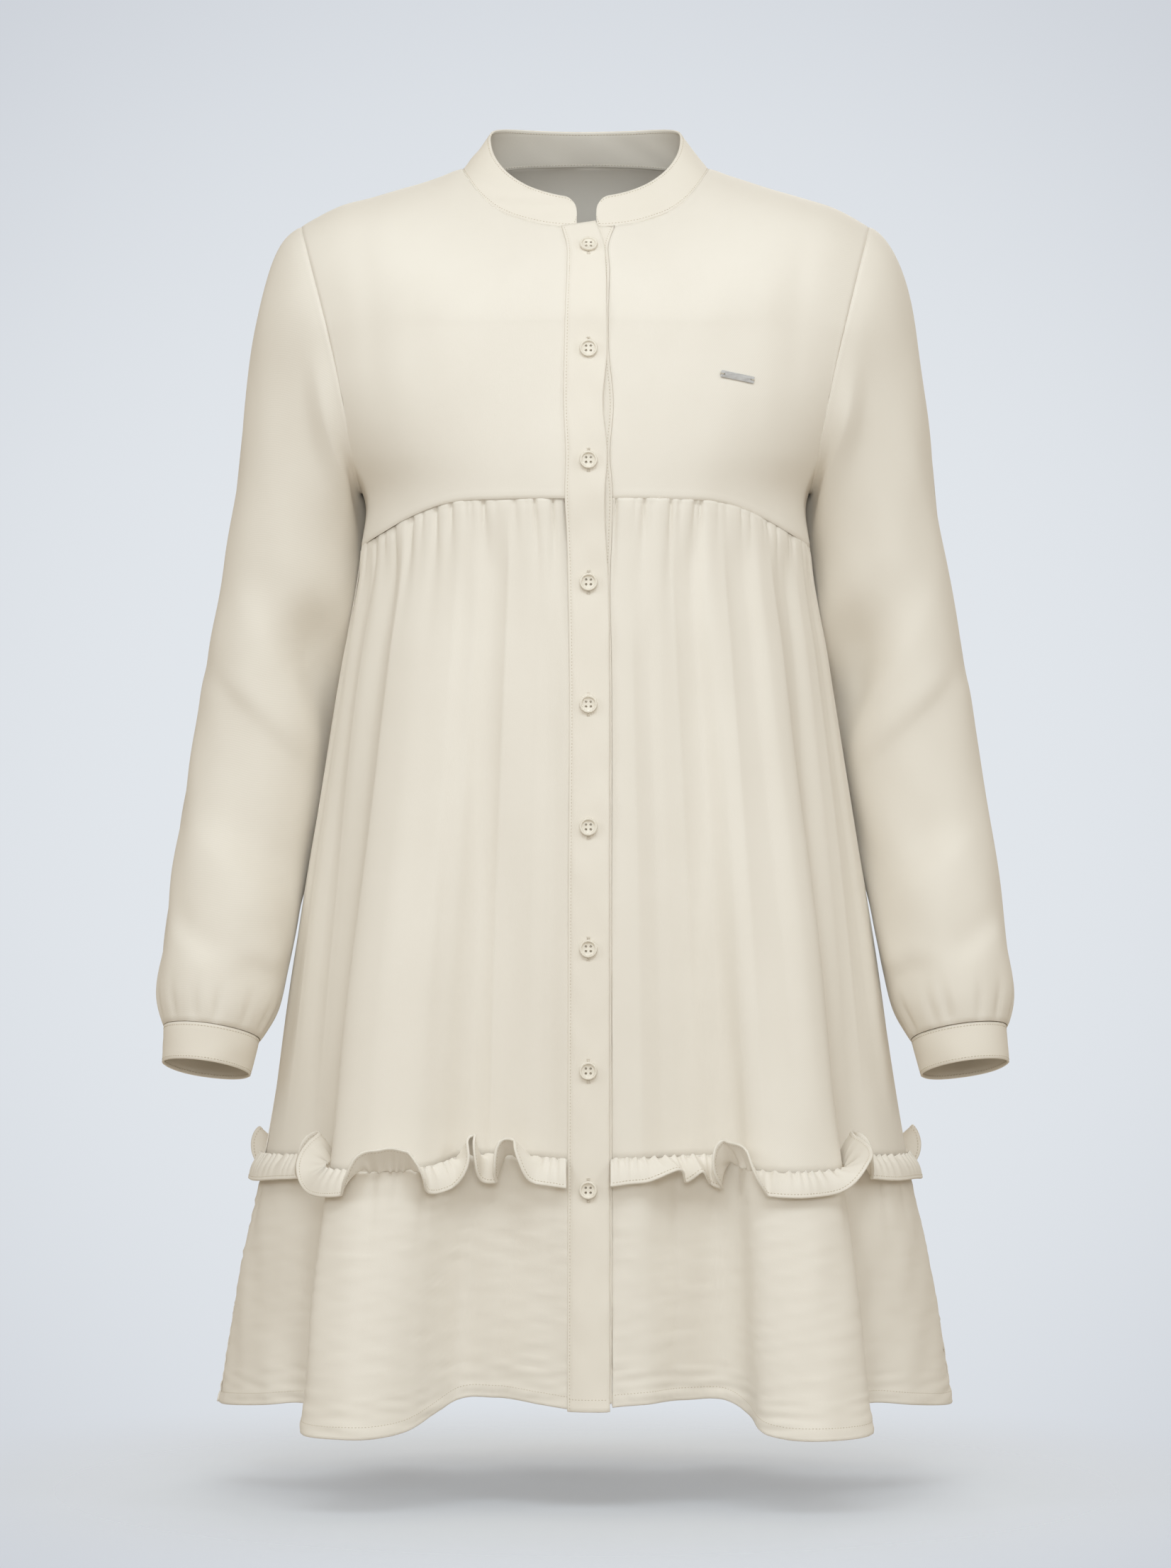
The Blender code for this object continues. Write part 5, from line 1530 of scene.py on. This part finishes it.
def name_bar():
    """The plain metal bar on the wearer's left chest, sewn on through a hole at each end."""
    made = bmesh.new()
    size = Matrix.Diagonal((BAR_LENGTH, BAR_HEIGHT, BAR_THICKNESS, 1))
    bmesh.ops.create_cube(made, size=1, matrix=size)
    upright = [e for e in made.edges if abs(e.verts[0].co.z - e.verts[1].co.z) > 1e-6]
    bmesh.ops.bevel(made, geom=upright, offset=0.0006, segments=5, affect="EDGES", profile=0.5)
    flat = [e for e in made.edges if abs(e.verts[0].co.z - e.verts[1].co.z) < 1e-6 and e.calc_face_angle(0) > 1.0]
    bmesh.ops.bevel(made, geom=flat, offset=0.00022, segments=3, affect="EDGES", profile=0.6)
    ends = [(side * (BAR_LENGTH / 2 - BAR_HOLE_INSET), 0) for side in (-1, 1)]
    mesh = drilled(made, ends, BAR_HOLE_RADIUS, 0.01, BAR_STEEL)
    mesh.shade_smooth()
    mesh.set_sharp_from_angle(angle=math.radians(40))
    place = seated(BAR_X, BAR_Z, CLOTH / 2 + GAP + BAR_THICKNESS / 2, BAR_TILT)
    set_down("name_bar_plate", mesh, place, "name_bar")
    out = np.array(place)[:3, 2]
    loops = []
    for side in (-1, 1):
        for strand in (-0.2, 0.2):
            x, y = side * (BAR_LENGTH / 2 - BAR_HOLE_INSET), strand * 0.001
            over = BAR_THICKNESS / 2 + 0.00012
            marks = [(x, y, over), (side * BAR_LENGTH / 2, y * 1.4, over), (side * (BAR_LENGTH / 2 + 0.0006), y * 2, -0.0007)]
            marks = placed(marks, place)
            loops += [(marks[0], marks[1], out, 0.0002, 0.0002), (marks[1], marks[2], out, 0.0002, 0.0002)]
    # This thread's darker colour is partly painted shade.
    bars("bar_sewing", loops, THREAD_WITH_PAINTED_SHADE)


def stage():
    """The pale floor, the world's light, the lamps and the camera."""
    scene = bpy.context.scene
    disc = bmesh.new()
    bmesh.ops.create_circle(disc, cap_ends=True, segments=96, radius=FLOOR_RADIUS)
    mesh = bpy.data.meshes.new("floor")
    disc.to_mesh(mesh)
    disc.free()
    mesh.materials.append(floor_finish())
    floor = bpy.data.objects.new("floor", mesh)
    floor.location = (0, 0, FLOOR_Z)
    scene.collection.objects.link(floor)

    world = bpy.data.worlds.new("studio")
    world.use_nodes = True
    tree = world.node_tree
    background = tree.nodes["Background"]
    seen = tree.nodes.new("ShaderNodeBackground")
    way = node(tree, "ShaderNodeTexCoord")
    ahead = node(tree, "ShaderNodeVectorMath", operation="DOT_PRODUCT")
    ahead.inputs[1].default_value = (0, 1, 0)
    tree.links.new(way.outputs["Generated"], ahead.inputs[0])
    glow = node(tree, "ShaderNodeMapRange", interpolation_type="SMOOTHSTEP")
    glow.inputs["From Min"].default_value = math.cos(math.radians(BACKDROP_TURN))
    tree.links.new(ahead.outputs["Value"], glow.inputs["Value"])
    # Painted light on the backdrop: pale in the middle, darker towards the edges.
    tone = node(tree, "ShaderNodeMix", data_type="RGBA")
    tone.inputs["A"].default_value = (*BACKDROP_PAINTED_DIM_EDGE, 1)
    tone.inputs["B"].default_value = (*BACKDROP_PAINTED_LIGHT_MIDDLE, 1)
    background.inputs["Color"].default_value = (*AMBIENT, 1)
    background.inputs["Strength"].default_value = AMBIENT_STRENGTH
    rays = tree.nodes.new("ShaderNodeLightPath")
    mix = tree.nodes.new("ShaderNodeMixShader")
    tree.links.new(glow.outputs["Result"], tone.inputs["Factor"])
    tree.links.new(tone.outputs["Result"], seen.inputs["Color"])
    tree.links.new(rays.outputs["Is Camera Ray"], mix.inputs["Fac"])
    tree.links.new(background.outputs[0], mix.inputs[1])
    tree.links.new(seen.outputs[0], mix.inputs[2])
    tree.links.new(mix.outputs[0], tree.nodes["World Output"].inputs["Surface"])
    scene.world = world

    for name, place, aim, size, power, colour in LAMPS:
        light = bpy.data.lights.new(name, "AREA")
        light.shape = "RECTANGLE"
        light.size, light.size_y = size
        light.energy = power
        light.color = colour
        lamp = bpy.data.objects.new(name, light)
        lamp.location = place
        lamp.rotation_euler = (Vector(aim) - Vector(place)).to_track_quat("-Z", "Y").to_euler()
        scene.collection.objects.link(lamp)

    shot = bpy.data.cameras.new("camera")
    shot.sensor_width = 36.0
    shot.lens = LENS
    shot.clip_end = 100.0
    camera = bpy.data.objects.new("camera", shot)
    camera.location = CAMERA_PLACE
    camera.rotation_euler = (math.pi / 2, 0, 0)
    scene.collection.objects.link(camera)
    scene.camera = camera
    scene.view_settings.view_transform = "Standard"


def main():
    """Makes every piece."""
    near = side_angle()
    hems, ruffles = [], []
    for side, name in ((1, "left"), (-1, "right")):
        bodice(f"front_bodice_{name}", bodice_front(side))
        edges = (opening_angle(side), fixed(side * near))
        seed = 11 if side > 0 else 12
        skirt(f"front_skirt_{name}", *edges, GATHERS_FRONT, seed)
        hems.append(tier(f"tier_front_{name}", *edges, GATHERS_FRONT, seed + 10))
        level = ruffle_rise(0.0)
        edge = abs(placket_x("right" if side > 0 else "left", level))
        start = float(front_angle(edge + RUFFLE_END_GAP, level))
        angles = side * np.linspace(start, near, RUFFLE_COLUMNS)
        ruffles.append(ruffle(f"ruffle_front_{name}", angles, seed + 20))
        sleeve(side)
        cuff(side)
    back = (fixed(180 - near), fixed(180 + near))
    bodice("back_bodice", bodice_back())
    skirt("back_skirt", *back, GATHERS_BACK, 13)
    hems.append(tier("tier_back", *back, GATHERS_BACK, 23))
    ruffles.append(ruffle("ruffle_back", np.linspace(180 - near, 180 + near, 2 * RUFFLE_COLUMNS), 33))
    stitches("hem_stitches", hems, CLOTH / 2 + 0.0002)
    stitches("ruffle_stitches", ruffles, CLOTH / 2 + 0.0003)
    stitches("collar_stitches", collar(), STIFF / 2 + 0.00005)
    stitches("placket_stitches", placket_over() + placket_under(), BAND / 2 + 0.0001)
    buttons()
    name_bar()
    stage()


main()
